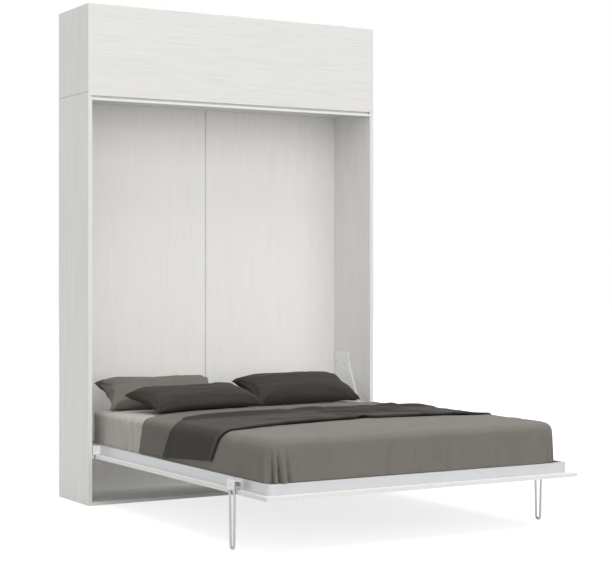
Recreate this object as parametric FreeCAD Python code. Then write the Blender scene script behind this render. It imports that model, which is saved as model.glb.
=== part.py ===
import FreeCAD, Part
import math
import os
from FreeCAD import Vector

# Wall bed: a tall cabinet holding a double bed that tilts down out of it,
# with a shallow cabinet and its lift-up flap on top.
# Lengths are in millimetres. The origin is the centre of the cabinet's base
# on the floor, +Y points to the wall, +Z up, and the bed is modelled down.

# Mattress, round which the bed and the cabinet are built
mattress_width = 1600.0
mattress_length = 2000.0
mattress_height = 200.0

# Cabinet
cabinet_side_margin = 90.0
cabinet_end_margin = 180.0
cabinet_depth = 416.0
upper_height = 465.0
side_board = 22.0
shelf_board = 18.0
top_board = 22.0
back_board = 8.0
back_recess = 8.0
groove_depth = 8.0
batten_width = 80.0
batten_margin = 100.0

# Flap door and the strip that the raised bed meets
door_board = 20.0
door_back_gap = 0.5
door_rebate_gap = 1.0
strip_height = 12.0
strip_depth = 23.0
strip_web = 3.0
finger_gap = 12.0

# Wall fixing rail inside the upper cabinet
wall_rail_board = 22.0
wall_rail_height = 100.0
wall_hole_radius = 4.5
wall_hole_spacing = 400.0
wall_hole_count = 4

# Bed pivot and the two halves of the bed's front panel
pivot_setback = 14.0
pivot_height = 254.0
panel_board = 18.0
panel_setback = 8.0
panel_side_gap = 18.0
panel_top_gap = 4.0
panel_floor_gap = 3.0
panel_seam = 1.0

# Steel frame round the mattress
rail_height = 50.0
rail_width = 20.0
rail_wall = 2.0
rail_corner_radius = 30.0
rail_side_margin = 28.0
rail_foot_margin = 36.0
rail_head_margin = 27.0
ledge_width = 20.0
ledge_thickness = 3.0
beam_width = 40.0
beam_height = 21.0
cross_bar_width = 30.0
cross_bar_count = 4

# Slats and the caps that hold them
slat_count = 11
slat_width = 60.0
slat_thickness = 8.0
cap_wall = 2.0
cap_reach = 32.0
cap_web = 3.0
slat_end_margin = 70.0

# Pivot arm, pin and bush
pin_radius = 6.0
pin_head_radius = 10.0
pin_head_thickness = 3.0
pin_embed = 12.0
running_clearance = 0.05
plate_thickness = 3.0
plate_gap = 1.0
arm_thickness = 5.0
arm_nose_radius = 13.0
bush_wall = 3.0
bush_lip = 0.3
arm_box_length = 45.0
arm_box_wall = 4.0
arm_box_lift = 2.0
arm_flange = 4.0

# Fixed side plate, measured from the pivot
plate_front_reach = 130.0
plate_front_rise = 269.0
plate_knee_reach = 203.0
plate_knee_rise = 416.0
plate_top_reach = 216.0
plate_top_rise = 503.0
plate_back_gap = 21.0
plate_back_rise = 60.0
plate_heel_reach = 120.0
plate_flange_depth = 10.0
plate_flange_start_share = 0.45

# Gas springs of the bed: anchor and arm stud, measured from the pivot
spring_back_gap = 70.0
spring_rod_shown = 59.607
spring_stud_reach = 120.0
spring_stud_rise = 46.0
spring_side_gap = 28.0
spring_tube_radius = 13.0
spring_rod_radius = 5.0
spring_eye_radius = 11.0
spring_eye_width = 12.0
spring_tube_length = 270.0
spring_stud_radius = 5.0
spring_collar_radius = 7.0
spring_stroke = 182.0
spring_neck = 18.0
stud_face_gap = 0.4

# Legs: a narrow U of bent rod on each side
leg_pivot_from_foot = 305.0
leg_pivot_above_panel = 24.0
leg_rod_radius = 6.0
leg_bend_radius = 16.0
leg_rod_sides = 10
leg_splay_angle = 1.6
leg_panel_gap = 1.0
leg_side_gap = 0.5
leg_pin_radius = 5.0
leg_hub_radius = 10.0
leg_hub_gap = 0.3
leg_tie_thickness = 5.0
leg_tie_height = 16.0
bracket_plate = 3.0
bracket_length = 64.0
bracket_height = 49.0
bracket_corner = 8.0
stop_half = 4.0
stop_reach = 26.0
stop_rise = 18.0

# Mattress stop at the head
bow_strap = 6.0
bow_strap_width = 16.0
bow_half_width = 500.0
bow_height = 90.0
bow_bend = 50.0

# Mattress and bedding
mattress_foot_gap = 5.0
mattress_crown = 8.0
mattress_waist = 3.0
mattress_edge = 34.0
mattress_corner = 60.0
corner_margin = 0.5
soft_clearance = 0.3
top_sheet_thickness = 3.0
duvet_thickness = 10.0
throw_thickness = 6.0
hem_gap = 2.0
band_gap = 1.0
band_slant = 100.0
band_slant_height = 180.0
sheet_head_edge = 1275.0
sheet_fold_left = 935.0
sheet_fold_right = 1275.0
sheet_fold_lap = 60.0
throw_foot_left = 427.0
throw_foot_right = 500.0
fold_width = 26.0
fold_depth = 12.0
fold_pitch = 34.0
fold_count = 3

# Pillows: a length as a share of the mattress's width, a gap to its long edge, a setback from the
# pivot towards the foot, and how far the pillow leans back and turns
pillow_depth = 300.0
pillow_thickness = 140.0
pillow_taper = 190.0
pillow_end_half = 8.0
back_left_length_share = 0.4
back_left_edge_gap = 35.0
back_left_lean_angle = 28.0
back_left_turn_angle = 0.0
back_left_setback = -88.0
front_left_length_share = 0.4625
front_left_edge_gap = 92.0
front_left_lean_angle = 20.0
front_left_turn_angle = 13.0
front_left_setback = 174.0
right_length_share = 0.43125
right_edge_gap = 67.0
right_lean_angle = 22.0
right_turn_angle = -10.0
right_setback = 52.0

# Flap hinges
hinge_knuckle_radius = 3.0
hinge_lift = 3.2
hinge_leaf_thickness = 1.2
hinge_leaf_reach = 18.0
hinge_knuckle_length = 30.0
hinge_end_margin = 180.0
hinge_pin_radius = 1.5
hinge_count = 3
hinge_play = 0.2

# Flap stays: anchor on the cabinet's side and tab on the door, from the hinge line
stay_anchor_reach = 240.0
stay_anchor_drop = 318.0
stay_tab_reach = 22.0
stay_tab_drop = 70.0
stay_side_gap = 16.0
stay_tube_radius = 8.0
stay_rod_radius = 4.0
stay_eye_radius = 7.0
stay_eye_width = 8.0
stay_tube_length = 205.0
stay_stud_radius = 3.0
stay_collar_radius = 5.0
stay_stroke = 106.0
stay_neck = 12.0
stay_base = 30.0
stay_base_thickness = 3.0
stud_head_thickness = 1.5
stud_head_lip = 2.0
tab_thickness = 3.0
tab_margin = 8.0

# Length by which a cutting shape runs past what it cuts
overrun = 5.0

# Places worked out from the sizes above
cabinet_width = mattress_width + cabinet_side_margin + cabinet_side_margin
lower_height = mattress_length + cabinet_end_margin
front = -cabinet_depth / 2
wall = cabinet_depth / 2
outer_half = cabinet_width / 2
inner_half = outer_half - side_board
total_height = lower_height + upper_height
back_face = wall - back_recess - back_board
carcass_front = front + door_board + door_back_gap
door_bottom = lower_height - shelf_board
strip_top = door_bottom - finger_gap
strip_bottom = strip_top - strip_height
pivot_y = front + pivot_setback
panel_bottom = pivot_height - pivot_setback + panel_setback
panel_top = panel_bottom + panel_board
panel_half = inner_half - panel_side_gap
panel_foot = pivot_y - (strip_bottom - panel_top_gap - pivot_height)
panel_head = pivot_y + pivot_height - shelf_board - panel_floor_gap
rail_half = panel_half - rail_side_margin
rail_inner = rail_half - rail_width
rail_foot = panel_foot + rail_foot_margin
rail_head = panel_head - rail_head_margin
rail_top = panel_top + rail_height
slat_seat = panel_top + beam_height
cap_height = slat_thickness + cap_wall + cap_wall
mattress_foot = rail_foot + rail_width + mattress_foot_gap
mattress_head = mattress_foot + mattress_length
mattress_bottom = slat_seat + cap_height + soft_clearance
mattress_top = mattress_bottom + mattress_height
plate_back_reach = back_face - pivot_y - plate_back_gap
spring_anchor_reach = back_face - pivot_y - spring_back_gap
spring_level = spring_anchor_reach - spring_stud_reach
spring_rest_length = spring_tube_length + spring_rod_shown
spring_anchor_rise = spring_stud_rise + math.sqrt(spring_rest_length ** 2 - spring_level ** 2)
back_left_length = mattress_width * back_left_length_share
back_left_side = (mattress_width - back_left_length) / 2 - back_left_edge_gap
front_left_length = mattress_width * front_left_length_share
front_left_side = (mattress_width - front_left_length) / 2 - front_left_edge_gap
right_length = mattress_width * right_length_share
right_side = (mattress_width - right_length) / 2 - right_edge_gap
arm_outer = inner_half - plate_thickness - plate_gap
arm_inner = arm_outer - arm_thickness
leg_x = panel_half + leg_panel_gap + leg_rod_radius
leg_y = panel_foot + leg_pivot_from_foot
leg_z = panel_top + leg_pivot_above_panel
bracket_outer = leg_x + leg_rod_radius + leg_side_gap
hinge_y = front + door_board
hinge_z = total_height + hinge_lift
X_AXIS = Vector(1, 0, 0)
Y_AXIS = Vector(0, 1, 0)
Z_AXIS = Vector(0, 0, 1)


def block(x0, x1, y0, y1, z0, z1):
    """Box between two corners."""
    return Part.makeBox(x1 - x0, y1 - y0, z1 - z0, Vector(x0, y0, z0))


def rod_x(x0, x1, y, z, radius):
    """Round bar along X."""
    return Part.makeCylinder(radius, x1 - x0, Vector(x0, y, z), X_AXIS)


def joined(shapes):
    """Weld shapes into one solid and drop the seams between them."""
    result = shapes[0]
    for shape in shapes[1:]:
        result = result.fuse(shape)
    return result.removeSplitter()


def mirrored(shape):
    """The same piece on the other side of the bed."""
    return shape.mirror(Vector(0, 0, 0), X_AXIS)


def is_along(edge, axis):
    """Whether a straight edge runs along an axis."""
    straight = 0.9
    return abs(edge.tangentAt(edge.FirstParameter).dot(axis)) > straight


def polygon_face(points):
    """Flat face inside straight edges."""
    return Part.Face(Part.makePolygon(points + [points[0]]))


def save(name, shape):
    """Write one piece, or one group of equal pieces, to its file."""
    shape.exportStep("parts/" + name + ".step")


def save_pair(name, right_shape):
    """Write a piece for the right side and its mirror image for the left."""
    save(name + "_right", right_shape)
    save(name + "_left", mirrored(right_shape))


# Cabinet boards
def side_panel():
    """Right side board, with a groove for the back and a rebate for the flap door."""
    board = block(inner_half, outer_half, front, wall, 0, lower_height)
    groove = block(inner_half, inner_half + groove_depth, back_face, back_face + back_board, 0, lower_height)
    rebate_depth = door_board + door_back_gap
    rebate = block(inner_half, outer_half, front, front + rebate_depth, door_bottom - door_rebate_gap, lower_height)
    pin_hole = rod_x(inner_half, inner_half + pin_embed, pivot_y, pivot_height, pin_radius)
    return board.cut(groove).cut(rebate).cut(pin_hole)


def upper_side():
    """Right side board of the upper cabinet, with its groove for the back."""
    board = block(inner_half, outer_half, carcass_front, wall, lower_height, total_height)
    groove = block(inner_half, inner_half + groove_depth, back_face, back_face + back_board,
                   lower_height, total_height)
    return board.cut(groove)


def wall_holes():
    """Through holes for the screws that hold the cabinet to the wall."""
    first = -wall_hole_spacing * (wall_hole_count - 1) / 2
    height = total_height - top_board - wall_rail_height / 2
    holes = []
    for i in range(wall_hole_count):
        start = Vector(first + i * wall_hole_spacing, wall - wall_rail_board, height)
        holes.append(Part.makeCylinder(wall_hole_radius, wall_rail_board, start, Y_AXIS))
    return Part.makeCompound(holes)


def stop_strip():
    """Front strip under the flap door: an L section that leaves a finger gap above."""
    lip = block(-inner_half, inner_half, front, front + strip_depth, strip_bottom, strip_top)
    web_front = front + strip_depth - strip_web
    web = block(-inner_half, inner_half, web_front, front + strip_depth, strip_top, door_bottom)
    return joined([lip, web])


def save_cabinet():
    save_pair("side_panel", side_panel())
    save_pair("upper_side", upper_side())
    save("bottom_board", block(-inner_half, inner_half, front, wall, 0, shelf_board))
    save("lower_top_panel", block(-inner_half, inner_half, carcass_front, back_face, door_bottom, lower_height))
    save("top_stop_strip", stop_strip())
    back_half = inner_half + groove_depth
    back_rear = back_face + back_board
    save_pair("back_panel", block(0, back_half, back_face, back_rear, shelf_board, lower_height))
    save("back_batten", block(-batten_width / 2, batten_width / 2, back_rear, wall,
                              batten_margin, lower_height - batten_margin))
    save("upper_bottom_panel", block(-inner_half, inner_half, carcass_front, back_face,
                                     lower_height, lower_height + shelf_board))
    save("upper_top_panel", block(-inner_half, inner_half, carcass_front, wall,
                                  total_height - top_board, total_height))
    rail_bottom = total_height - top_board - wall_rail_height
    save("upper_back_panel", block(-back_half, back_half, back_face, back_rear, lower_height, rail_bottom))
    rail = block(-inner_half, inner_half, wall - wall_rail_board, wall, rail_bottom, total_height - top_board)
    save("wall_fixing_rail", rail.cut(wall_holes()))


# Bed frame
def tube_y(x0, x1, y0, y1, z0, z1):
    """Rectangular steel tube along Y, open at its ends."""
    shell = block(x0, x1, y0, y1, z0, z1)
    bore = block(x0 + rail_wall, x1 - rail_wall, y0, y1, z0 + rail_wall, z1 - rail_wall)
    return shell.cut(bore)


def tube_x(x0, x1, y0, y1, z0, z1):
    """Rectangular steel tube along X, open at its ends."""
    shell = block(x0, x1, y0, y1, z0, z1)
    bore = block(x0, x1, y0 + rail_wall, y1 - rail_wall, z0 + rail_wall, z1 - rail_wall)
    return shell.cut(bore)


def side_rail():
    """Right side rail with the welded ledge that carries the slat caps."""
    start = rail_foot + rail_corner_radius
    tube = tube_y(rail_inner, rail_half, start, rail_head - rail_width, panel_top, rail_top)
    ledge = block(rail_inner - ledge_width, rail_inner, start, rail_head - rail_width,
                  slat_seat - ledge_thickness, slat_seat)
    return joined([tube, ledge])


def corner_band(inset, z0, z1):
    """Plan band of the foot rail with both bends, drawn in by an inset and raised to a solid."""
    outer_r = rail_corner_radius - inset
    inner_r = rail_corner_radius - rail_width + inset
    centre_y = rail_foot + rail_corner_radius
    centre_x = rail_half - rail_corner_radius
    turn = math.sqrt(0.5)

    def on_arc(side, radius):
        return Vector(side * (centre_x + radius * turn), centre_y - radius * turn, z0)

    def end(side, radius):
        return Vector(side * (centre_x + radius), centre_y, z0)

    def low(side, radius):
        return Vector(side * centre_x, centre_y - radius, z0)

    edges = [
        Part.Arc(end(-1, outer_r), on_arc(-1, outer_r), low(-1, outer_r)).toShape(),
        Part.makeLine(low(-1, outer_r), low(1, outer_r)),
        Part.Arc(low(1, outer_r), on_arc(1, outer_r), end(1, outer_r)).toShape(),
        Part.makeLine(end(1, outer_r), end(1, inner_r)),
        Part.Arc(end(1, inner_r), on_arc(1, inner_r), low(1, inner_r)).toShape(),
        Part.makeLine(low(1, inner_r), low(-1, inner_r)),
        Part.Arc(low(-1, inner_r), on_arc(-1, inner_r), end(-1, inner_r)).toShape(),
        Part.makeLine(end(-1, inner_r), end(-1, outer_r)),
    ]
    return Part.Face(Part.Wire(edges)).extrude(Vector(0, 0, z1 - z0))


def foot_rail():
    """Foot rail, bent round into both side rails."""
    shell = corner_band(0, panel_top, rail_top)
    bore = corner_band(rail_wall, panel_top + rail_wall, rail_top - rail_wall)
    return shell.cut(bore)


def slat_places():
    """Positions of the slats' centre lines along the bed."""
    first = rail_foot + rail_width + slat_end_margin
    last = rail_head - rail_width - slat_end_margin
    step = (last - first) / (slat_count - 1)
    return [first + i * step for i in range(slat_count)]


def slat_cap(x_mouth, x_back, y):
    """C-shaped plastic cap at the rail, open towards the middle of the bed."""
    z = slat_seat
    outline = [
        Vector(x_mouth, y, z),
        Vector(x_back, y, z),
        Vector(x_back, y, z + cap_height),
        Vector(x_mouth, y, z + cap_height),
        Vector(x_mouth, y, z + cap_height - cap_wall),
        Vector(x_back - cap_web, y, z + cap_height - cap_wall),
        Vector(x_back - cap_web, y, z + cap_wall),
        Vector(x_mouth, y, z + cap_wall),
    ]
    return polygon_face(outline).extrude(Vector(0, slat_width, 0))


def slats_and_caps():
    """Two rows of slats, their caps on the rails and the double caps on the centre beam."""
    slats = []
    caps = []
    slat_low = slat_seat + cap_wall
    for y in slat_places():
        y0 = y - slat_width / 2
        right_cap = slat_cap(rail_inner - cap_reach, rail_inner, y0)
        middle_cap = slat_cap(-cap_reach, cap_web / 2, y0).fuse(mirrored(slat_cap(-cap_reach, cap_web / 2, y0)))
        caps += [right_cap, mirrored(right_cap), middle_cap.removeSplitter()]
        slat = block(cap_web / 2, rail_inner - cap_web, y0, y0 + slat_width,
                     slat_low, slat_low + slat_thickness)
        slats += [slat, mirrored(slat)]
    return Part.makeCompound(slats), Part.makeCompound(caps)


def cross_bars():
    """Short tubes between the centre beam and the side rails."""
    first = rail_foot + rail_width
    step = (rail_head - rail_width - first) / (cross_bar_count + 1)
    bars = []
    for i in range(cross_bar_count):
        y = first + (i + 1) * step
        bar = tube_x(beam_width / 2, rail_inner, y - cross_bar_width / 2, y + cross_bar_width / 2,
                     panel_top, slat_seat - ledge_thickness)
        bars += [bar, mirrored(bar)]
    return Part.makeCompound(bars)


def mattress_bow():
    """Flat steel hoop on the head rail that keeps the mattress in place when the bed is raised."""
    y = rail_head - (rail_width + bow_strap_width) / 2
    plan = block(-bow_half_width, bow_half_width, y, y + bow_strap_width, rail_top, rail_top + bow_height)
    corners = [edge for edge in plan.Edges if is_along(edge, Y_AXIS) and edge.CenterOfMass.z > rail_top]
    outer = plan.makeFillet(bow_bend, corners)
    inside = bow_half_width - bow_strap
    gap = block(-inside, inside, y, y + bow_strap_width, rail_top, rail_top + bow_height - bow_strap)
    corners = [edge for edge in gap.Edges if is_along(edge, Y_AXIS) and edge.CenterOfMass.z > rail_top]
    return outer.cut(gap.makeFillet(bow_bend - bow_strap, corners))


def save_frame():
    seam_half = panel_seam / 2
    save_pair("bed_panel", block(seam_half, panel_half, panel_foot, panel_head, panel_bottom, panel_top))
    save_pair("rail", side_rail())
    save("rail_foot", foot_rail())
    save("rail_head", tube_x(-rail_half, rail_half, rail_head - rail_width, rail_head, panel_top, rail_top))
    save("centre_beam", tube_y(-beam_width / 2, beam_width / 2, rail_foot + rail_width,
                               rail_head - rail_width, panel_top, slat_seat))
    save("cross_bars", cross_bars())
    slats, caps = slats_and_caps()
    save("slats", slats)
    save("slat_caps", caps)
    save("mattress_bow", mattress_bow())


# Tilt mechanism
def plate_point(x, reach, rise):
    """Point on a side plate, measured from the bed's pivot."""
    return Vector(x, pivot_y + reach, pivot_height + rise)


def side_plate():
    """Fixed steel plate on the cabinet's right side, with a folded front flange."""
    x = inner_half - plate_thickness
    outline = [
        plate_point(x, -arm_nose_radius, 0),
        plate_point(x, plate_front_reach, plate_front_rise),
        plate_point(x, plate_knee_reach, plate_knee_rise),
        plate_point(x, plate_top_reach, plate_top_rise),
        plate_point(x, plate_back_reach, plate_top_rise),
        plate_point(x, plate_back_reach, plate_back_rise),
        plate_point(x, plate_heel_reach, -arm_nose_radius),
        plate_point(x, 0, -arm_nose_radius),
    ]
    sheet = polygon_face(outline).extrude(Vector(plate_thickness, 0, 0))
    nose = rod_x(x, inner_half, pivot_y, pivot_height, arm_nose_radius)
    slope = plate_front_rise / (plate_front_reach + arm_nose_radius)
    start_reach = plate_front_reach * plate_flange_start_share
    start_rise = (start_reach + arm_nose_radius) * slope
    fold_x = inner_half - plate_flange_depth
    flange = [
        plate_point(fold_x, start_reach, start_rise),
        plate_point(fold_x, plate_front_reach, plate_front_rise),
        plate_point(fold_x, plate_knee_reach, plate_knee_rise),
        plate_point(fold_x, plate_top_reach, plate_top_rise),
        plate_point(fold_x, plate_top_reach + plate_thickness, plate_top_rise),
        plate_point(fold_x, plate_knee_reach + plate_thickness, plate_knee_rise),
        plate_point(fold_x, plate_front_reach + plate_thickness, plate_front_rise),
        plate_point(fold_x, start_reach + plate_thickness, start_rise),
    ]
    fold = polygon_face(flange).extrude(Vector(plate_flange_depth, 0, 0))
    pin_hole = rod_x(x, inner_half, pivot_y, pivot_height, pin_radius)
    stud_hole = rod_x(x, inner_half, pivot_y + spring_anchor_reach, pivot_height + spring_anchor_rise,
                      spring_stud_radius)
    return joined([sheet, nose, fold]).cut(pin_hole).cut(stud_hole)


def pivot_pin():
    """Headed pin from the cabinet's right side through plate, arm and bush."""
    head_outer = arm_inner - bush_lip - bush_lip
    shank = rod_x(head_outer, inner_half + pin_embed, pivot_y, pivot_height, pin_radius)
    head = rod_x(head_outer - pin_head_thickness, head_outer, pivot_y, pivot_height, pin_head_radius)
    return joined([shank, head])


def pivot_bush():
    """Plain bush in the arm that turns on the pin."""
    body = rod_x(arm_inner - bush_lip, arm_outer + bush_lip, pivot_y, pivot_height, pin_radius + bush_wall)
    bore = rod_x(arm_inner - bush_lip, arm_outer + bush_lip, pivot_y, pivot_height,
                 pin_radius + running_clearance)
    return body.cut(bore)


def pivot_arm():
    """Arm plate at the bed's right head corner, boxed out from the side rail."""
    nose = rod_x(arm_inner, arm_outer, pivot_y, pivot_height, arm_nose_radius)
    stud_y = pivot_y + spring_stud_reach
    stud_z = pivot_height + spring_stud_rise
    tail = rod_x(arm_inner, arm_outer, stud_y, stud_z, arm_nose_radius)
    box_top = rail_top - arm_box_lift
    box_low = panel_top + arm_box_lift
    box_front = pivot_y - arm_nose_radius
    outline = [
        plate_point(arm_inner, -arm_nose_radius, 0),
        plate_point(arm_inner, -arm_nose_radius, box_top - pivot_height),
        plate_point(arm_inner, spring_stud_reach, box_top - pivot_height),
        plate_point(arm_inner, spring_stud_reach + arm_nose_radius, spring_stud_rise),
        plate_point(arm_inner, spring_stud_reach, spring_stud_rise - arm_nose_radius),
        plate_point(arm_inner, 0, -arm_nose_radius),
    ]
    web = polygon_face(outline).extrude(Vector(arm_thickness, 0, 0))
    box = block(rail_half, arm_inner, box_front, box_front + arm_box_length, box_low, box_top)
    hollow = block(rail_half, arm_inner, box_front + arm_box_wall, box_front + arm_box_length - arm_box_wall,
                   box_low + arm_box_wall, box_top - arm_box_wall)
    flange = block(rail_half, rail_half + arm_flange, box_front, stud_y, box_low, box_top)
    spring_inner = inner_half - spring_side_gap - spring_eye_width / 2
    collar = rod_x(spring_inner + spring_eye_width + stud_face_gap, arm_inner, stud_y, stud_z,
                   spring_collar_radius)
    bush_hole = rod_x(arm_inner, arm_outer, pivot_y, pivot_height, pin_radius + bush_wall)
    return joined([web, nose, tail, box.cut(hollow), flange, collar]).cut(bush_hole)


def strut_frame(anchor, target):
    """Placement that lays a strut drawn along +Z from its anchor towards its target."""
    turn = FreeCAD.Rotation(Z_AXIS, target - anchor)
    return FreeCAD.Placement(anchor, turn)


def strut_end(eye_radius, eye_width, z_eye, z_root):
    """Flat end fitting of a strut: a tongue with a round end across X."""
    z0 = min(z_eye, z_root)
    z1 = max(z_eye, z_root)
    tongue = block(-eye_width / 2, eye_width / 2, -eye_radius, eye_radius, z0, z1)
    return tongue.fuse(rod_x(-eye_width / 2, eye_width / 2, 0, z_eye, eye_radius))


def strut_tube(anchor, target, eye_radius, eye_width, stud_radius, neck, tube_radius, length, rod_radius):
    """Pressure tube of a strut: an eye on its stud, and a tube bored for the rod."""
    eye = strut_end(eye_radius, eye_width, 0, neck)
    tube = Part.makeCylinder(tube_radius, length, Vector(0, 0, neck))
    stud_hole = rod_x(-eye_width / 2, eye_width / 2, 0, 0, stud_radius + running_clearance)
    bore = Part.makeCylinder(rod_radius + running_clearance, length, Vector(0, 0, neck + tube_radius))
    body = joined([eye, tube]).cut(stud_hole).cut(bore)
    body.Placement = strut_frame(anchor, target)
    return body


def strut_rod(anchor, target, eye_radius, eye_width, neck, tube_radius, length, rod_radius, stroke):
    """Rod of a strut, long enough to stay in its tube, with the closed socket at its end."""
    span = (target - anchor).Length
    inner_end = neck + length - stroke - tube_radius
    socket_root = span - neck
    rod = Part.makeCylinder(rod_radius, socket_root - inner_end, Vector(0, 0, inner_end))
    body = joined([rod, strut_end(eye_radius, eye_width, span, socket_root)])
    body.Placement = strut_frame(anchor, target)
    return body


def spring_ends():
    """Upper anchor and arm stud of the right gas spring."""
    x = inner_half - spring_side_gap
    anchor = plate_point(x, spring_anchor_reach, spring_anchor_rise)
    target = plate_point(x, spring_stud_reach, spring_stud_rise)
    return anchor, target


def headed_stud(x_root, x_eye, eye_width, y, z, radius):
    """Stud along X from a plate through an eye, with a thin head inboard of it."""
    eye_inner = x_eye - eye_width / 2
    shank = rod_x(eye_inner - stud_face_gap, x_root, y, z, radius)
    head = rod_x(eye_inner - stud_face_gap - stud_head_thickness, eye_inner - stud_face_gap, y, z,
                 radius + stud_head_lip)
    return joined([shank, head])


def save_mechanism():
    save_pair("side_plate", side_plate())
    pin = pivot_pin()
    save("pivot_pins", Part.makeCompound([pin, mirrored(pin)]))
    bush = pivot_bush()
    save("pivot_bushes", Part.makeCompound([bush, mirrored(bush)]))
    save_pair("pivot_arm", pivot_arm())
    anchor, target = spring_ends()
    stud = headed_stud(inner_half, anchor.x, spring_eye_width, anchor.y, anchor.z, spring_stud_radius)
    save("spring_studs", Part.makeCompound([stud, mirrored(stud)]))
    save_pair("spring_tube", strut_tube(anchor, target, spring_eye_radius, spring_eye_width,
                                        spring_stud_radius, spring_neck, spring_tube_radius,
                                        spring_tube_length, spring_rod_radius))
    save_pair("spring_rod", strut_rod(anchor, target, spring_eye_radius, spring_eye_width, spring_neck,
                                      spring_tube_radius, spring_tube_length, spring_rod_radius,
                                      spring_stroke))


# Legs
def rod_section(centre, along):
    """Many-sided section of the leg's rod, square to its run."""
    across = along.cross(X_AXIS)
    points = []
    for i in range(leg_rod_sides):
        angle = 2 * math.pi * i / leg_rod_sides
        points.append(centre + (X_AXIS * math.cos(angle) + across * math.sin(angle)) * leg_rod_radius)
    return polygon_face(points)


def leg():
    """Right leg: a splayed U of round rod, tied at the top to the hub that turns on its pin."""
    splay = math.radians(leg_splay_angle)
    bend_z = leg_rod_radius + leg_bend_radius
    top_z = leg_z + stop_rise - stop_half - leg_hub_gap
    start_y = leg_bend_radius * math.cos(splay)
    start_z = bend_z - leg_bend_radius * math.sin(splay)
    length = (top_z - start_z) / math.cos(splay)
    pieces = []
    for side in (-1, 1):
        start = Vector(leg_x, leg_y + side * start_y, start_z)
        lean = Vector(0, side * math.sin(splay), math.cos(splay))
        pieces.append(rod_section(start, lean).extrude(lean * length))
    low_start = Vector(leg_x, leg_y + start_y, start_z)
    section = rod_section(low_start, Vector(0, math.sin(splay), math.cos(splay)))
    pieces.append(section.revolve(Vector(leg_x, leg_y, bend_z), -X_AXIS, 180 - 2 * leg_splay_angle))
    tie_half = start_y + (leg_z - start_z) * math.tan(splay)
    tie_x = leg_x - leg_tie_thickness / 2
    pieces.append(block(tie_x, tie_x + leg_tie_thickness, leg_y - tie_half, leg_y + tie_half,
                        leg_z - leg_tie_height / 2, leg_z + leg_tie_height / 2))
    hub_inner = rail_half + bracket_plate + leg_hub_gap
    hub_outer = bracket_outer - leg_hub_gap
    pieces.append(rod_x(hub_inner, hub_outer, leg_y, leg_z, leg_hub_radius))
    bore = rod_x(hub_inner, hub_outer, leg_y, leg_z, leg_pin_radius + running_clearance)
    return joined(pieces).cut(bore)


def bracket_sheet(x0):
    """One cheek of the leg bracket, with clipped corners and its pin hole."""
    z0 = panel_top
    y0 = leg_y - bracket_length / 2
    cheek = block(x0, x0 + bracket_plate, y0, y0 + bracket_length, z0, z0 + bracket_height)
    corners = [edge for edge in cheek.Edges if is_along(edge, X_AXIS)]
    cheek = cheek.makeChamfer(bracket_corner, corners)
    return cheek.cut(rod_x(x0, x0 + bracket_plate, leg_y, leg_z, leg_pin_radius))


def leg_bracket():
    """Right leg bracket: two cheeks and the stop bar between them."""
    y = leg_y - stop_reach
    z = leg_z + stop_rise
    stop = block(rail_half, bracket_outer, y - stop_half, y + stop_half, z - stop_half, z + stop_half)
    return joined([bracket_sheet(rail_half), bracket_sheet(bracket_outer), stop])


def save_legs():
    save_pair("leg", leg())
    save_pair("leg_bracket", leg_bracket())
    pin = rod_x(rail_half, bracket_outer + bracket_plate, leg_y, leg_z, leg_pin_radius)
    save("leg_pins", Part.makeCompound([pin, mirrored(pin)]))


# Mattress and bedding
def rounded_plan(half_x, y0, y1, corner, z0, z1):
    """Upright block with rounded vertical edges."""
    plan = block(-half_x, half_x, y0, y1, z0, z1)
    upright = [edge for edge in plan.Edges if is_along(edge, Z_AXIS)]
    return plan.makeFillet(corner, upright)


def cushion_profile(low, high, to_point):
    """Side view of the mattress: drawn-in ends, rounded top edges and a crowned top."""
    z0, z1 = low[1], high[1]
    a, b = low[0], high[0]
    shoulder = z1 - mattress_crown
    edge_z = shoulder - mattress_edge
    middle_z = (z0 + edge_z) / 2
    bend = mattress_edge * (1 - math.sqrt(0.5))
    points = [
        to_point(a, z0),
        to_point(a + mattress_waist, middle_z),
        to_point(a, edge_z),
        to_point(a + bend, shoulder - bend),
        to_point(a + mattress_edge, shoulder),
        to_point((a + b) / 2, z1),
        to_point(b - mattress_edge, shoulder),
        to_point(b - bend, shoulder - bend),
        to_point(b, edge_z),
        to_point(b - mattress_waist, middle_z),
        to_point(b, z0),
    ]
    edges = [Part.Arc(points[i], points[i + 1], points[i + 2]).toShape() for i in range(0, 10, 2)]
    edges.append(Part.makeLine(points[10], points[0]))
    return Part.Face(Part.Wire(edges))


def mattress_form(grow):
    """Mattress solid, swollen by a growth on its sides and top."""
    half = mattress_width / 2 + grow
    y0 = mattress_foot - grow
    y1 = mattress_head + grow
    top = mattress_top + grow
    across = cushion_profile((-half, mattress_bottom), (half, top), lambda u, z: Vector(u, y0, z))
    along = cushion_profile((y0, mattress_bottom), (y1, top), lambda u, z: Vector(-half, u, z))
    body = across.extrude(Vector(0, y1 - y0, 0)).common(along.extrude(Vector(half + half, 0, 0)))
    plan = rounded_plan(half + corner_margin, y0 - corner_margin, y1 + corner_margin, mattress_corner + grow,
                        mattress_bottom - overrun, top + overrun)
    return body.common(plan)


def band_region(foot_left, foot_right, head_left, head_right):
    """Leaning slab over the bed between two slanted edges, given from the mattress's foot."""
    half = rail_half
    low = rail_top + hem_gap
    points = [
        Vector(-half, mattress_foot + foot_left + band_slant, low),
        Vector(half, mattress_foot + foot_right + band_slant, low),
        Vector(half, mattress_foot + head_right + band_slant, low),
        Vector(-half, mattress_foot + head_left + band_slant, low),
    ]
    reach_share = 1.3
    return polygon_face(points).extrude(Vector(0, -band_slant * reach_share, band_slant_height * reach_share))


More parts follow.
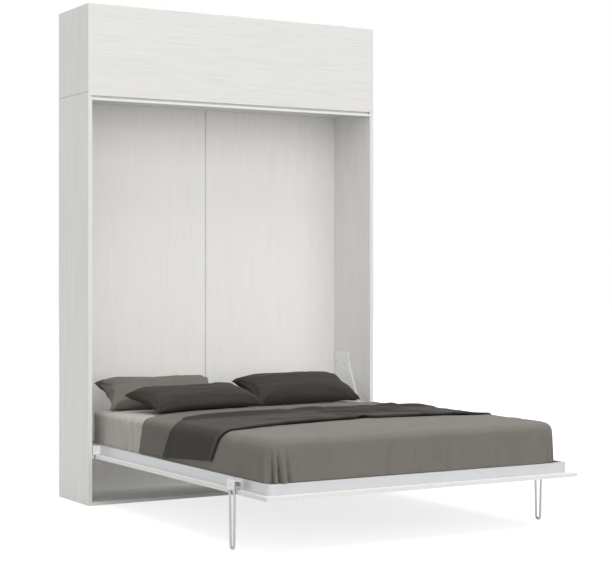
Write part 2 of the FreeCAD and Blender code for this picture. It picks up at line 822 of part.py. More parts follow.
def pleat_section(x, y, z, out, scale):
    """Outline of one pleat, bulging along a unit direction."""
    across = Vector(-out.y, out.x, 0)
    width_shares = (-0.5, -0.3, 0, 0.3, 0.5)
    depth_shares = (0, 0.72, 1.0, 0.72, 0)
    points = []
    for wide, deep in zip(width_shares, depth_shares):
        points.append(Vector(x, y, z) + across * (wide * fold_width * scale) + out * (deep * fold_depth * scale))
    return Part.makePolygon(points + [points[0]])


def duvet_folds():
    """Pleats where the duvet falls over the two foot corners, deepest at the hem."""
    low = rail_top + hem_gap
    high = mattress_top - mattress_crown - mattress_edge
    skin_y = mattress_foot - soft_clearance - duvet_thickness / 2
    skin_x = mattress_width / 2 + soft_clearance + duvet_thickness / 2
    shoulder_share = 0.5
    folds = []
    for i in range(fold_count):
        reach = mattress_corner + (i + 1) * fold_pitch
        for side in (-1, 1):
            places = ((side * (skin_x - reach), skin_y, Vector(0, -1, 0)),
                      (side * skin_x, skin_y + reach, Vector(side, 0, 0)))
            for x, y, out in places:
                hem = pleat_section(x, y, low, out, 1)
                shoulder = pleat_section(x, y, high, out, shoulder_share)
                folds.append(Part.makeLoft([hem, shoulder], True, True))
    return folds


def save_bedding():
    save("mattress", mattress_form(0))
    bed_skin = mattress_form(soft_clearance)
    sheet_skin = mattress_form(soft_clearance + top_sheet_thickness)
    sheet_region = band_region(sheet_fold_left + band_gap, sheet_fold_right + band_gap,
                               sheet_head_edge, sheet_head_edge + sheet_fold_lap)
    save("top_sheet", sheet_skin.cut(bed_skin).common(sheet_region))
    duvet_skin = mattress_form(soft_clearance + duvet_thickness)
    foot_reach = -band_slant - band_slant
    duvet_region = band_region(foot_reach, foot_reach, sheet_fold_left, sheet_fold_right)
    pleats = duvet_skin
    for fold in duvet_folds():
        pleats = pleats.fuse(fold)
    limit = block(-rail_half, rail_half, rail_foot, rail_head, mattress_bottom, mattress_top + overrun + duvet_thickness)
    pleats = pleats.common(limit)
    save("duvet", pleats.cut(bed_skin).common(duvet_region).removeSplitter())
    under = mattress_form(soft_clearance + duvet_thickness + soft_clearance)
    over = mattress_form(soft_clearance + duvet_thickness + soft_clearance + throw_thickness)
    throw_region = band_region(throw_foot_left, throw_foot_right, sheet_fold_left, sheet_fold_right)
    save("throw", over.cut(under).common(throw_region))


# Pillows
def lens_face():
    """Side view of a pillow: two arcs that meet in its front and back seams."""
    front_seam = Vector(0, -pillow_depth / 2, 0)
    back_seam = Vector(0, pillow_depth / 2, 0)
    upper = Part.Arc(front_seam, Vector(0, 0, pillow_thickness / 2), back_seam).toShape()
    lower = Part.Arc(back_seam, Vector(0, 0, -pillow_thickness / 2), front_seam).toShape()
    return Part.Face(Part.Wire([upper, lower]))


def taper_face(length):
    """Front view of a pillow: flat in the middle, drawn in to a narrow seam at each end."""
    y = -pillow_depth / 2
    half = length / 2
    top = pillow_thickness / 2
    rise = top - pillow_end_half
    radius = (pillow_taper ** 2 + rise ** 2) / (rise + rise)
    turn = math.asin(pillow_taper / radius) / 2
    middle_x = half - pillow_taper + radius * math.sin(turn)
    middle_z = top - radius + radius * math.cos(turn)

    def shoulder(side, up):
        return [Vector(side * (half - pillow_taper), y, up * top), Vector(side * middle_x, y, up * middle_z),
                Vector(side * half, y, up * pillow_end_half)]

    right_top, right_low = shoulder(1, 1), shoulder(1, -1)
    left_top, left_low = shoulder(-1, 1), shoulder(-1, -1)
    edges = [
        Part.Arc(*right_top).toShape(),
        Part.makeLine(right_top[2], right_low[2]),
        Part.Arc(*right_low).toShape(),
        Part.makeLine(right_low[0], left_low[0]),
        Part.Arc(*left_low).toShape(),
        Part.makeLine(left_low[2], left_top[2]),
        Part.Arc(*left_top).toShape(),
        Part.makeLine(left_top[0], right_top[0]),
    ]
    return Part.Face(Part.Wire(edges))


def seated(body, support):
    """Lower a soft piece on to its support, down to the soft clearance."""
    for _ in range(3):
        gap = body.distToShape(support)[0]
        body.translate(Vector(0, 0, soft_clearance - gap))
    return body


def pillow(length, side, setback, lean, turn):
    """Filled pillow with crowned faces and pinched ears, laid on the mattress."""
    lens = lens_face().extrude(Vector(length, 0, 0))
    lens.translate(Vector(-length / 2, 0, 0))
    body = lens.common(taper_face(length).extrude(Vector(0, pillow_depth, 0)))
    rotation = FreeCAD.Rotation(Z_AXIS, turn).multiply(FreeCAD.Rotation(X_AXIS, lean))
    body.Placement = FreeCAD.Placement(Vector(0, 0, 0), rotation)
    drop = body.optimalBoundingBox().ZMin
    body.translate(Vector(side, pivot_y - setback, mattress_top + soft_clearance - drop))
    return seated(body, mattress_form(0))


def save_pillows():
    save("pillow_back_left", pillow(back_left_length, -back_left_side, back_left_setback,
                                    back_left_lean_angle, back_left_turn_angle))
    save("pillow_front_left", pillow(front_left_length, -front_left_side, front_left_setback,
                                     front_left_lean_angle, front_left_turn_angle))
    save("pillow_right", pillow(right_length, right_side, right_setback, right_lean_angle, right_turn_angle))


# Flap door, its hinges and its stays
def hinge_places():
    """Left ends of the flap hinges along the hinge line."""
    length = hinge_knuckle_length + hinge_knuckle_length
    first = -outer_half + hinge_end_margin
    step = (cabinet_width - 2 * hinge_end_margin - length) / (hinge_count - 1)
    return [first + i * step for i in range(hinge_count)]


def hinge_leaf(x, x0, x1, side):
    """Hinge leaf with one rolled knuckle, on the cabinet side (1) or the door side (-1) of the line."""
    leaf_top = total_height + hinge_leaf_thickness
    near = hinge_y + side * hinge_knuckle_radius
    far = hinge_y + side * hinge_leaf_reach
    length = hinge_knuckle_length + hinge_knuckle_length
    plate = block(x, x + length, min(near, far), max(near, far), total_height, leaf_top)
    tongue = block(x0, x1, min(near, hinge_y), max(near, hinge_y), total_height, leaf_top)
    return joined([plate, tongue, rod_x(x0, x1, hinge_y, hinge_z, hinge_knuckle_radius)])


def hinge_leaves():
    """Cabinet leaves with their fixed pins, and the bored door leaves that turn on them."""
    fixed = []
    moving = []
    k = hinge_knuckle_length
    for x in hinge_places():
        pin = rod_x(x + k, x + k + k, hinge_y, hinge_z, hinge_pin_radius)
        fixed.append(joined([hinge_leaf(x, x, x + k, 1), pin]))
        leaf = hinge_leaf(x, x + k + hinge_play, x + k + k, -1)
        moving.append(leaf.cut(rod_x(x + k, x + k + k, hinge_y, hinge_z, hinge_pin_radius + running_clearance)))
    return Part.makeCompound(fixed), Part.makeCompound(moving)


def stay_ends():
    """Cabinet anchor and door tab of the right flap stay."""
    x = inner_half - stay_side_gap
    anchor = Vector(x, hinge_y + stay_anchor_reach, hinge_z - stay_anchor_drop)
    target = Vector(x, hinge_y + stay_tab_reach, hinge_z - stay_tab_drop)
    return anchor, target


def stay_bracket():
    """Base plate and stud on the upper cabinet's right side."""
    anchor, target = stay_ends()
    half = stay_base / 2
    base = block(inner_half - stay_base_thickness, inner_half, anchor.y - half, anchor.y + half,
                 anchor.z - half, anchor.z + half)
    stud = headed_stud(inner_half, anchor.x, stay_eye_width, anchor.y, anchor.z, stay_stud_radius)
    return joined([base, stud])


def stay_tab():
    """Angle on the back of the flap door with the collar beside the stay's socket."""
    anchor, target = stay_ends()
    face_x = target.x + stay_eye_width / 2 + stud_face_gap
    tab_x = face_x + stay_base_thickness
    half = stay_base / 2
    base = block(target.x - half, tab_x + tab_thickness, hinge_y, hinge_y + tab_thickness,
                 target.z - half, target.z + half)
    tab = block(tab_x, tab_x + tab_thickness, hinge_y, target.y + tab_margin,
                target.z - tab_margin, target.z + tab_margin)
    collar = rod_x(face_x, tab_x, target.y, target.z, stay_collar_radius)
    return joined([base, tab, collar])


def save_flap():
    save("flap_door", block(-outer_half, outer_half, front, front + door_board, door_bottom, total_height))
    fixed, moving = hinge_leaves()
    save("flap_hinge_fixed_leaves", fixed)
    save("flap_hinge_door_leaves", moving)
    bracket = stay_bracket()
    save("stay_brackets", Part.makeCompound([bracket, mirrored(bracket)]))
    tab = stay_tab()
    save("stay_door_tabs", Part.makeCompound([tab, mirrored(tab)]))
    anchor, target = stay_ends()
    save_pair("stay_tube", strut_tube(anchor, target, stay_eye_radius, stay_eye_width, stay_stud_radius,
                                      stay_neck, stay_tube_radius, stay_tube_length, stay_rod_radius))
    save_pair("stay_rod", strut_rod(anchor, target, stay_eye_radius, stay_eye_width, stay_neck,
                                    stay_tube_radius, stay_tube_length, stay_rod_radius, stay_stroke))


os.makedirs("parts", exist_ok=True)
save_cabinet()
save_frame()
save_mechanism()
save_legs()
save_bedding()
save_pillows()
save_flap()
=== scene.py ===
import math

import bmesh
import bpy
from mathutils import Euler, Matrix, Vector, noise


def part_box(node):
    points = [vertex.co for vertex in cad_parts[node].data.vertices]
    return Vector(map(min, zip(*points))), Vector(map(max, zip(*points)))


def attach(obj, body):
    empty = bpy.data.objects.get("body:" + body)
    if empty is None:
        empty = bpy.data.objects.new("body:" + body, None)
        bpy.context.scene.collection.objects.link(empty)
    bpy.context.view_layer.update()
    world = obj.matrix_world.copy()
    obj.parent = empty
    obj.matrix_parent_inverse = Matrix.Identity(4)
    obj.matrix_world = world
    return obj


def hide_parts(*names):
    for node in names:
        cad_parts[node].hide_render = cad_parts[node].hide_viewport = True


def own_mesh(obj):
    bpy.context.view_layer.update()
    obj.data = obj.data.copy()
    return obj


bl_info = {
    "name": "Wall bed",
    "version": (1, 0, 0),
    "blender": (4, 5, 0),
    "location": "View3D > Sidebar > Wall bed",
    "description": "Bedding, fittings, finishes and studio of a bed that tilts out of its cabinet",
    "category": "Object",
}

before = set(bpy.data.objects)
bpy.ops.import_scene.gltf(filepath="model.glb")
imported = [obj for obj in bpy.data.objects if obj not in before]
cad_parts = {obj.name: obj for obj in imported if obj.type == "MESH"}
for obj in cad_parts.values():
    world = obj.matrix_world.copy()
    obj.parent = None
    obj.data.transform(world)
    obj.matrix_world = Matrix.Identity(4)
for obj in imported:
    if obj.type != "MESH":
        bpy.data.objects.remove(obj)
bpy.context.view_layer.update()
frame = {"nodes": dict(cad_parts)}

# The made bed, in metres, with its places read from the solids
mattress_low, mattress_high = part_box("mattress")
HALF = mattress_high.x                  # from the bed's middle to the mattress's side
CROWN = 0.008                           # rise of the mattress's top in its middle
SHOULDER = mattress_high.z - CROWN      # height of the top where it meets the edges
EDGE = 0.034                            # rounding of the mattress's long edges
MIDDLE_Y = (mattress_low.y + mattress_high.y) / 2
HALF_Y = (mattress_high.y - mattress_low.y) / 2 - EDGE
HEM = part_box("rail_left")[1].z + 0.0022     # the bedding ends just above the rails

SIDES = ((-1, "left"), (1, "right"))


def tone(red, green, blue):
    """Linear colour of a screen colour written from 0 to 255."""
    channels = []
    for value in (red, green, blue):
        share = value / 255
        channels.append(share / 12.92 if share <= 0.04045 else ((share + 0.055) / 1.055) ** 2.4)
    return tuple(channels)


def scaled(colour, share):
    """The colour made lighter or darker by a share."""
    return tuple(min(1.0, channel * share) for channel in colour)


def clamp(value):
    """The value kept between 0 and 1."""
    return max(0.0, min(1.0, value))


# Settings

def colour_setting(label, note, rgb):
    """Colour that a user may change, written from 0 to 255."""
    return bpy.props.FloatVectorProperty(name=label, description=note, default=tone(*rgb),
                                         subtype="COLOR", size=3, min=0, max=1)


def length_setting(label, note, value):
    """Length that a user may change, in metres."""
    return bpy.props.FloatProperty(name=label, description=note, default=value,
                                   unit="LENGTH", min=0, precision=4)


def strength_setting(label, note, value):
    """Strength of a light that a user may change."""
    return bpy.props.FloatProperty(name=label, description=note, default=value, min=0)


class BedColours(bpy.types.PropertyGroup):
    """Colours of the boards, the metalwork and the bedding"""
    board: colour_setting("Board", "White ash laminate of the cabinet and the bed's front",
                          (231, 230, 227))
    # Painted lighter than the board's laminate of the same ash: painted light, making up for the
    # shade inside the cabinet.
    back: colour_setting("Back board", "Laminate of the cabinet's back", (247, 246, 243))
    frame: colour_setting("Frame", "Satin coat of the steel rails", (200, 201, 203))
    plate: colour_setting("Side plate", "Coat of the side plates and arms", (236, 237, 236))
    strip: colour_setting("Strip", "Satin coat of the front strip", (236, 236, 233))
    chrome: colour_setting("Chrome", "Bright plated rod of the legs", (172, 174, 177))
    slat: colour_setting("Slat", "Lacquered beech ply", (201, 172, 130))
    plastic: colour_setting("Plastic", "Caps of the slats", (58, 58, 60))
    tube: colour_setting("Tube", "Black tube of the gas springs", (36, 36, 38))
    bronze: colour_setting("Bush", "Plain bearing bronze", (170, 128, 72))
    fitted_sheet: colour_setting("Fitted sheet", "Light taupe cotton", (175, 171, 165))
    top_sheet: colour_setting("Top sheet", "Grey-brown cotton", (103, 99, 94))
    duvet: colour_setting("Duvet", "Taupe cotton", (118, 114, 108))
    throw: colour_setting("Throw", "Dark grey-brown cotton", (57, 54, 50))
    pillow_light: colour_setting("Light pillow", "Grey-brown cotton", (108, 104, 98))
    pillow_dark: colour_setting("Dark pillows", "Dark grey-brown cotton", (56, 53, 49))


class BedSizes(bpy.types.PropertyGroup):
    """Sizes of the cloth, the grain and the small fittings"""
    weave_pitch: length_setting("Weave pitch", "Distance between two threads of the cloth", 0.0011)
    grain_pitch: length_setting("Grain pitch",
                                "Distance between two lines of the wood grain", 0.004)
    duvet_thickness: length_setting("Duvet thickness", "Thickness of the duvet at its hems", 0.0056)
    throw_thickness: length_setting("Throw thickness", "Thickness of the throw", 0.0050)
    sheet_thickness: length_setting("Sheet thickness", "Thickness of the top sheet", 0.0022)
    hem_width: length_setting("Hem width", "Width of the stitched hems", 0.024)
    wrinkle: length_setting("Wrinkle depth", "Depth of the soft wrinkles on the duvet", 0.0024)
    pillow_cap: length_setting("Pillow swelling",
                               "How far the filling may push the pillow's cloth", 0.009)
    pillow_fill: bpy.props.FloatProperty(name="Pillow fill", description="How full the pillows are",
                                         default=0.7, min=0, max=1, subtype="FACTOR")
    screw_radius: length_setting("Screw head", "Radius of the screw heads", 0.0045)
    cover_radius: length_setting("Cam cover", "Radius of the covers over the cam fittings", 0.0095)


class StudioSettings(bpy.types.PropertyGroup):
    """Camera and lights"""
    camera_place: bpy.props.FloatVectorProperty(
        name="Camera place", description="Where the camera stands",
        default=(-4.124, -7.981, 1.215), subtype="TRANSLATION", size=3)
    camera_turn: bpy.props.FloatProperty(
        name="Camera turn", description="Turn of the camera about the vertical",
        default=math.radians(-30.4), unit="ROTATION")
    lens: bpy.props.FloatProperty(
        name="Lens", description="Focal length on a 36 mm sensor, in millimetres",
        default=93.35, min=20, unit="CAMERA")
    front_energy: strength_setting("Front light", "Strength of the wide front light", 0.92)
    top_energy: strength_setting("Top light", "Strength of the wide light from above", 2.03)
    left_energy: strength_setting("Left light", "Strength of the wide light from the left", 0.76)
    sky_strength: strength_setting("Room light", "Strength of the even light all round", 0.40)


def colours():
    """Colours as the user has set them."""
    return bpy.context.scene.wall_bed_colours


def sizes():
    """Sizes as the user has set them."""
    return bpy.context.scene.wall_bed_sizes


# Modelling helpers

def only(*pieces):
    """Select these pieces and nothing else."""
    if bpy.context.object and bpy.context.object.mode != "OBJECT":
        bpy.ops.object.mode_set(mode="OBJECT")
    bpy.ops.object.select_all(action="DESELECT")
    for piece in pieces:
        piece.select_set(True)
    bpy.context.view_layer.objects.active = pieces[0]


def added(name):
    """Name the primitive just added, and put its place, turn and size into its mesh."""
    piece = bpy.context.object
    piece.name = name
    only(piece)
    bpy.ops.object.transform_apply(location=True, rotation=True, scale=True)
    return piece


def aim(direction):
    """Turn that points +Z in a direction."""
    return Vector(direction).to_track_quat("Z", "Y")


def facing(place, direction):
    """Matrix that stands a model made along +Z at a place, looking in a direction."""
    return Matrix.Translation(Vector(place)) @ aim(direction).to_matrix().to_4x4()


def block(name, low, high):
    """Start of a piece: a cube stretched between two corners."""
    low, high = Vector(low), Vector(high)
    bpy.ops.object.select_all(action="DESELECT")
    bpy.ops.mesh.primitive_cube_add(size=1, location=(low + high) / 2, scale=high - low)
    return added(name)


def round_bar(name, start, end, radius, sides=24):
    """Start of a piece: a cylinder between two points."""
    start, end = Vector(start), Vector(end)
    run = end - start
    bpy.ops.object.select_all(action="DESELECT")
    bpy.ops.mesh.primitive_cylinder_add(vertices=sides, radius=radius, depth=run.length,
                                        location=(start + end) / 2, rotation=aim(run).to_euler())
    return added(name)


def pick(piece, kind, test):
    """Enter edit mode with those faces or edges selected whose middle and direction pass."""
    only(piece)
    bpy.ops.object.mode_set(mode="EDIT")
    bpy.ops.mesh.select_mode(type=kind)
    bpy.ops.mesh.select_all(action="DESELECT")
    bpy.ops.object.mode_set(mode="OBJECT")
    mesh = piece.data
    if kind == "FACE":
        for face in mesh.polygons:
            face.select = test(face.center, face.normal)
    else:
        for edge in mesh.edges:
            a, b = (mesh.vertices[i].co for i in edge.vertices)
            edge.select = test((a + b) / 2, (b - a).normalized())
    bpy.ops.object.mode_set(mode="EDIT")


def leave_edit():
    """Back to object mode."""
    bpy.ops.object.mode_set(mode="OBJECT")


def everything(middle, direction):
    """Test that every face and edge passes."""
    return True


def looks_up(middle, normal):
    """Test for the faces on top."""
    return normal.z > 0.9


def off_axis(middle):
    """Distance from the axis of a model made along +Z."""
    return math.hypot(middle.x, middle.y)


def draw_out(move):
    """Extrude what is selected by a move."""
    bpy.ops.mesh.extrude_region_move(TRANSFORM_OT_translate={"value": move})


def round_edges(piece, width, segments, test=everything):
    """Bevel the edges of a piece that pass a test."""
    pick(piece, "EDGE", test)
    bpy.ops.mesh.bevel(offset=width, segments=segments, affect="EDGES", clamp_overlap=True)
    leave_edit()
    return piece


def apply_modifier(piece, kind, **settings):
    """Add a modifier with these settings and apply it."""
    only(piece)
    modifier = piece.modifiers.new(kind.title(), kind)
    for key, value in settings.items():
        setattr(modifier, key, value)
    bpy.ops.object.modifier_apply(modifier=modifier.name)
    return piece


def outward(piece):
    """Merge doubles and point every face outwards."""
    pick(piece, "FACE", everything)
    bpy.ops.mesh.remove_doubles(threshold=0.00001)
    bpy.ops.mesh.normals_make_consistent(inside=False)
    leave_edit()
    return piece


def smooth(piece, angle=40):
    """Shade smooth where faces meet at less than this angle, in degrees."""
    only(piece)
    bpy.ops.object.shade_smooth_by_angle(angle=math.radians(angle))
    return piece


def join(name, pieces):
    """Join pieces into one."""
    only(*pieces)
    if len(pieces) > 1:
        bpy.ops.object.join()
    piece = bpy.context.object
    piece.name = name
    piece.data.name = name
    return piece


def copies(name, model, matrices):
    """Copy a model to each place, each copy with its own mesh, and join them."""
    made = []
    for matrix in matrices:
        copy = model.copy()
        copy.data = model.data.copy()
        copy.data.transform(matrix)
        bpy.context.scene.collection.objects.link(copy)
        made.append(copy)
    bpy.data.objects.remove(model)
    return join(name, made)


def mesh_piece(name, points, faces):
    """Piece made of points and faces."""
    mesh = bpy.data.meshes.new(name)
    mesh.from_pydata([tuple(p) for p in points], [], faces)
    mesh.update()
    piece = bpy.data.objects.new(name, mesh)
    bpy.context.scene.collection.objects.link(piece)
    return piece


def reshape(piece, move):
    """Move every point by what a function of its place and direction says."""
    mesh = piece.data
    places = [(point.co.copy(), point.normal.copy()) for point in mesh.vertices]
    for point, (place, out) in zip(mesh.vertices, places):
        point.co = place + move(place, out)
    mesh.update()
    return piece


def dress(piece, body, material, replaces=()):
    """Give a piece its finish and its body."""
    piece.data.materials.clear()
    piece.data.materials.append(material)
    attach(piece, body)
    if replaces:
        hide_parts(*replaces)
    return piece


def fit(name, model, spots, body, finish):
    """Set a small fitting at each of its spots and dress it in a finish made before."""
    return dress(copies(name, model, spots), body, bpy.data.materials[finish])


# Materials

def start_material(name, roughness, metallic=0.0):
    """A new material: itself, its nodes, its shader and the piece's Object coordinates."""
    found = bpy.data.materials.get(name)
    if found:
        bpy.data.materials.remove(found)
    material = bpy.data.materials.new(name)
    material.use_nodes = True
    tree = material.node_tree
    shader = tree.nodes["Principled BSDF"]
    shader.inputs["Roughness"].default_value = roughness
    shader.inputs["Metallic"].default_value = metallic
    return material, tree, shader, tree.nodes.new("ShaderNodeTexCoord").outputs["Object"]


def stretch(tree, vector, scale):
    """Coordinates scaled along each axis."""
    node = tree.nodes.new("ShaderNodeMapping")
    node.inputs["Scale"].default_value = scale
    tree.links.new(vector, node.inputs["Vector"])
    return node.outputs["Vector"]


def cloud(tree, vector, scale, detail=4.0, distortion=0.0):
    """Soft noise."""
    node = tree.nodes.new("ShaderNodeTexNoise")
    node.inputs["Scale"].default_value = scale
    node.inputs["Detail"].default_value = detail
    node.inputs["Distortion"].default_value = distortion
    tree.links.new(vector, node.inputs["Vector"])
    return node.outputs["Fac"]


def threads(tree, vector, direction, pitch, distortion=0.6):
    """Bands across one axis, one for each thread, slightly uneven."""
    metre_scale = 0.314     # scale at which the bands lie a metre apart
    node = tree.nodes.new("ShaderNodeTexWave")
    node.wave_type = "BANDS"
    node.bands_direction = direction
    node.inputs["Scale"].default_value = metre_scale / pitch
    node.inputs["Distortion"].default_value = distortion
    node.inputs["Detail"].default_value = 1.0
    tree.links.new(vector, node.inputs["Vector"])
    return node.outputs["Fac"]


def total(tree, *shares):
    """Weighted sum of values, each given as a socket and its weight."""
    result = None
    for socket, weight in shares:
        node = tree.nodes.new("ShaderNodeMath")
        node.operation = "MULTIPLY_ADD"
        tree.links.new(socket, node.inputs[0])
        node.inputs[1].default_value = weight
        if result is None:
            node.inputs[2].default_value = 0.0
        else:
            tree.links.new(result, node.inputs[2])
        result = node.outputs[0]
    return result


def span(tree, value, low, high):
    """The value from 0 to 1 spread over low to high."""
    node = tree.nodes.new("ShaderNodeMapRange")
    node.inputs["To Min"].default_value = low
    node.inputs["To Max"].default_value = high
    tree.links.new(value, node.inputs["Value"])
    return node.outputs["Result"]


def paint(tree, shader, value, colour, stops):
    """Colour the shader by a ramp over a value, each stop a place and a share of the colour."""
    node = tree.nodes.new("ShaderNodeValToRGB")
    ramp = node.color_ramp
    while len(ramp.elements) < len(stops):
        ramp.elements.new(0.5)
    for element, (place, share) in zip(ramp.elements, stops):
        element.position = place
        element.color = (*scaled(colour, share), 1)
    tree.links.new(value, node.inputs["Fac"])
    tree.links.new(node.outputs["Color"], shader.inputs["Base Color"])


def roughen(tree, shader, value, low, high):
    """Spread the shader's roughness from low to high over a value."""
    tree.links.new(span(tree, value, low, high), shader.inputs["Roughness"])


def relief(tree, shader, height, distance, strength):
    """Fine relief on the surface from a height."""
    node = tree.nodes.new("ShaderNodeBump")
    node.inputs["Distance"].default_value = distance
    node.inputs["Strength"].default_value = strength
    tree.links.new(height, node.inputs["Height"])
    tree.links.new(node.outputs["Normal"], shader.inputs["Normal"])


def laminate(name, colour, grain, depth=1.0):
    """White ash laminate with fine straight grain along one axis, its lines lighter or deeper."""
    material, tree, shader, where = start_material(name, 0.42)
    across = 1 / (sizes().grain_pitch * 4)
    axis = "XYZ".index(grain)
    fine = [across, across, across]
    fine[axis] = across * 0.018
    broad = [share * 0.22 for share in fine]
    broad[axis] = across * 0.010
    streaks = cloud(tree, stretch(tree, where, fine), 4.0, detail=5.0, distortion=0.25)
    figure = cloud(tree, stretch(tree, where, broad), 3.0, detail=3.0, distortion=1.2)
    paint(tree, shader, total(tree, (streaks, 0.68), (figure, 0.32)), colour,
          ((0.30, 1 - 0.14 * depth), (0.45, 1 - 0.045 * depth), (0.56, 1),
           (0.72, 1 + 0.035 * depth)))
    roughen(tree, shader, streaks, 0.36, 0.50)
    relief(tree, shader, streaks, distance=0.0004, strength=0.35)
    return material


def cloth(name, colour, sheen=0.09, mottle=0.12):
    """Plain-woven cotton: threads along each axis, soft mottling and a little sheen."""
    material, tree, shader, where = start_material(name, 0.86)
    pitch = sizes().weave_pitch
    weave = total(tree, *[(threads(tree, where, axis, pitch), 0.34) for axis in "XYZ"])
    slub = cloud(tree, stretch(tree, where, (60, 260, 200)), 1.0)
    patches = cloud(tree, where, 7.0, detail=3.0, distortion=0.4)
    paint(tree, shader, total(tree, (weave, 0.22), (slub, 0.42), (patches, 0.36)), colour,
          ((0.28, 1 - mottle), (0.5, 1), (0.74, 1 + mottle)))
    roughen(tree, shader, slub, 0.78, 0.94)
    shader.inputs["Sheen Weight"].default_value = sheen
    shader.inputs["Sheen Roughness"].default_value = 0.45
    shader.inputs["Specular IOR Level"].default_value = 0.2
    relief(tree, shader, total(tree, (weave, 0.6), (slub, 0.4)), distance=0.0007, strength=0.45)
    return material


def coat(name, colour, roughness, speckle, metallic=0.0):
    """Satin powder coat with a fine orange-peel skin."""
    material, tree, shader, where = start_material(name, roughness, metallic)
    peel = cloud(tree, where, 900.0, detail=2.0)
    tint = cloud(tree, where, 14.0, detail=3.0)
    paint(tree, shader, total(tree, (peel, 0.5), (tint, 0.5)), colour,
          ((0.3, 1 - speckle), (0.7, 1 + speckle)))
    roughen(tree, shader, tint, roughness - 0.06, roughness + 0.08)
    relief(tree, shader, peel, distance=0.0002, strength=0.25)
    return material


def bare_metal(name, colour, roughness, lines):
    """Bare or plated metal with fine lines from its working, as close along each axis as given."""
    material, tree, shader, where = start_material(name, roughness, metallic=1.0)
    drawn = cloud(tree, stretch(tree, where, lines), 1.0)
    smudge = cloud(tree, where, 30.0, detail=3.0)
    paint(tree, shader, total(tree, (drawn, 0.6), (smudge, 0.4)), colour, ((0.3, 0.9), (0.7, 1.05)))
    roughen(tree, shader, smudge, max(0.04, roughness - 0.06), roughness + 0.10)
    relief(tree, shader, drawn, distance=0.0002, strength=0.12)
    return material


def moulded(name, colour, roughness=0.5):
    """Moulded plastic with a fine spark-eroded grain."""
    material, tree, shader, where = start_material(name, roughness)
    grain = cloud(tree, where, 1400.0, detail=2.0)
    paint(tree, shader, cloud(tree, where, 40.0, detail=2.0), colour, ((0.3, 0.9), (0.7, 1.1)))
    roughen(tree, shader, grain, roughness - 0.06, roughness + 0.10)
    relief(tree, shader, grain, distance=0.0002, strength=0.2)
    return material


def ply(name, colour):
    """Lacquered beech ply: short flecks along the slat and thin layers through its thickness."""
    material, tree, shader, where = start_material(name, 0.38)
    fleck = cloud(tree, stretch(tree, where, (12, 300, 300)), 1.0)
    bands = cloud(tree, stretch(tree, where, (1.5, 30, 700)), 1.0, detail=2.0)
    paint(tree, shader, total(tree, (fleck, 0.6), (bands, 0.4)), colour,
          ((0.32, 0.72), (0.5, 1), (0.7, 1.12)))
    roughen(tree, shader, fleck, 0.3, 0.46)
    relief(tree, shader, fleck, distance=0.0003, strength=0.2)
    return material


def repaint(material, *nodes):
    """Give a finish to solids whose shape is already right."""
    for name in nodes:
        mesh = frame["nodes"][name].data
        mesh.materials.clear()
        mesh.materials.append(material)


def both(name):
    """Names of the left and the right one of a pair."""
    return name + "_left", name + "_right"


# Shape of the made bed

def bow(points, x):
    """Smooth curve through points (x, y), level with its ends outside them."""
    if x <= points[0][0]:
        return points[0][1]
    if x >= points[-1][0]:
        return points[-1][1]
    last = len(points) - 1
    i = next(k for k in range(last) if x <= points[k + 1][0])
    x0, y0 = points[i]
    x1, y1 = points[i + 1]
    before = points[max(i - 1, 0)]
    after = points[min(i + 2, last)]
    slope0 = (y1 - before[1]) / (x1 - before[0])
    slope1 = (after[1] - y0) / (after[0] - x0)
    run = x1 - x0
    t = (x - x0) / run
    return ((2 * t ** 3 - 3 * t * t + 1) * y0 + (t ** 3 - 2 * t * t + t) * run * slope0
            + (3 * t * t - 2 * t ** 3) * y1 + (t ** 3 - t * t) * run * slope1)


def crown(x, y):
    """Rise of the mattress's top over its shoulders."""
    across = min(1.0, abs(x) / (HALF - EDGE))
    along = min(1.0, abs(y - MIDDLE_Y) / HALF_Y)
    return CROWN * min(1 - across * across, 1 - along * along)


def bed_skin(u, y, lift, edge):
    """Point and outward direction on the made bed, for an arc length across it and a lift off
    the mattress."""
    side = 1 if u > 0 else -1
    flat = HALF + lift - edge
    past = abs(u) - flat
    top = SHOULDER + lift
    if past <= 0:
        return Vector((u, y, top + crown(u, y))), Vector((0, 0, 1))
    quarter = edge * math.pi / 2
    if past < quarter:
        angle = past / edge
        out, up = math.sin(angle), math.cos(angle)
        return (Vector((side * (flat + edge * out), y, top - edge + edge * up)),
                Vector((side * out, 0, up)))
    return Vector((side * (flat + edge), y, top - edge - (past - quarter))), Vector((side, 0, 0))


def half_girth(lift, edge, hem):
    """Arc length from the middle of the bed to the hem."""
    return HALF + lift - edge + edge * math.pi / 2 + (SHOULDER + lift - edge - hem)


def ridge(distance, width):
    """Bell curve of height 1."""
    return math.exp(-(distance / width) ** 2)


def crease(x, y, z, sharpness=3.0):
    """Thin raised folds: high where smooth noise passes through zero."""
    return max(0.0, 1 - abs(noise.noise(Vector((x, y, z)))) * sharpness) ** 2


def marks(length, step, rim):
    """Places along a strip, close together near both rims."""
    count = max(4, round((length - 2 * rim[-1]) / step))
    middle = [rim[-1] + (length - 2 * rim[-1]) * i / count for i in range(1, count)]
    return list(rim) + middle + [length - place for place in reversed(rim)]


def slanted(points, slant, shift=0.0):
    """Edge of a band: a curve over the top that leans towards the head as it drops at the sides."""
    full_drop = 0.18

    def edge(x, drop):
        return bow(points, x) + slant * min(1.0, drop / full_drop) + shift
    return edge


def shell_faces(wide, long):
    """Faces of a closed shell of two grids of points, each wide columns of long rows."""
    count = wide * long
    faces = []
    for i in range(wide - 1):
        for j in range(long - 1):
            a, b = i * long + j, (i + 1) * long + j
            faces.append((a, b, b + 1, a + 1))
            faces.append((count + a + 1, count + b + 1, count + b, count + a))
    loop = [i * long for i in range(wide)] + [(wide - 1) * long + j for j in range(1, long)]
    loop += [i * long + long - 1 for i in range(wide - 2, -1, -1)] + list(range(long - 2, 0, -1))
    for k, a in enumerate(loop):
        b = loop[(k + 1) % len(loop)]
        faces.append((b, a, count + a, count + b))
    return faces


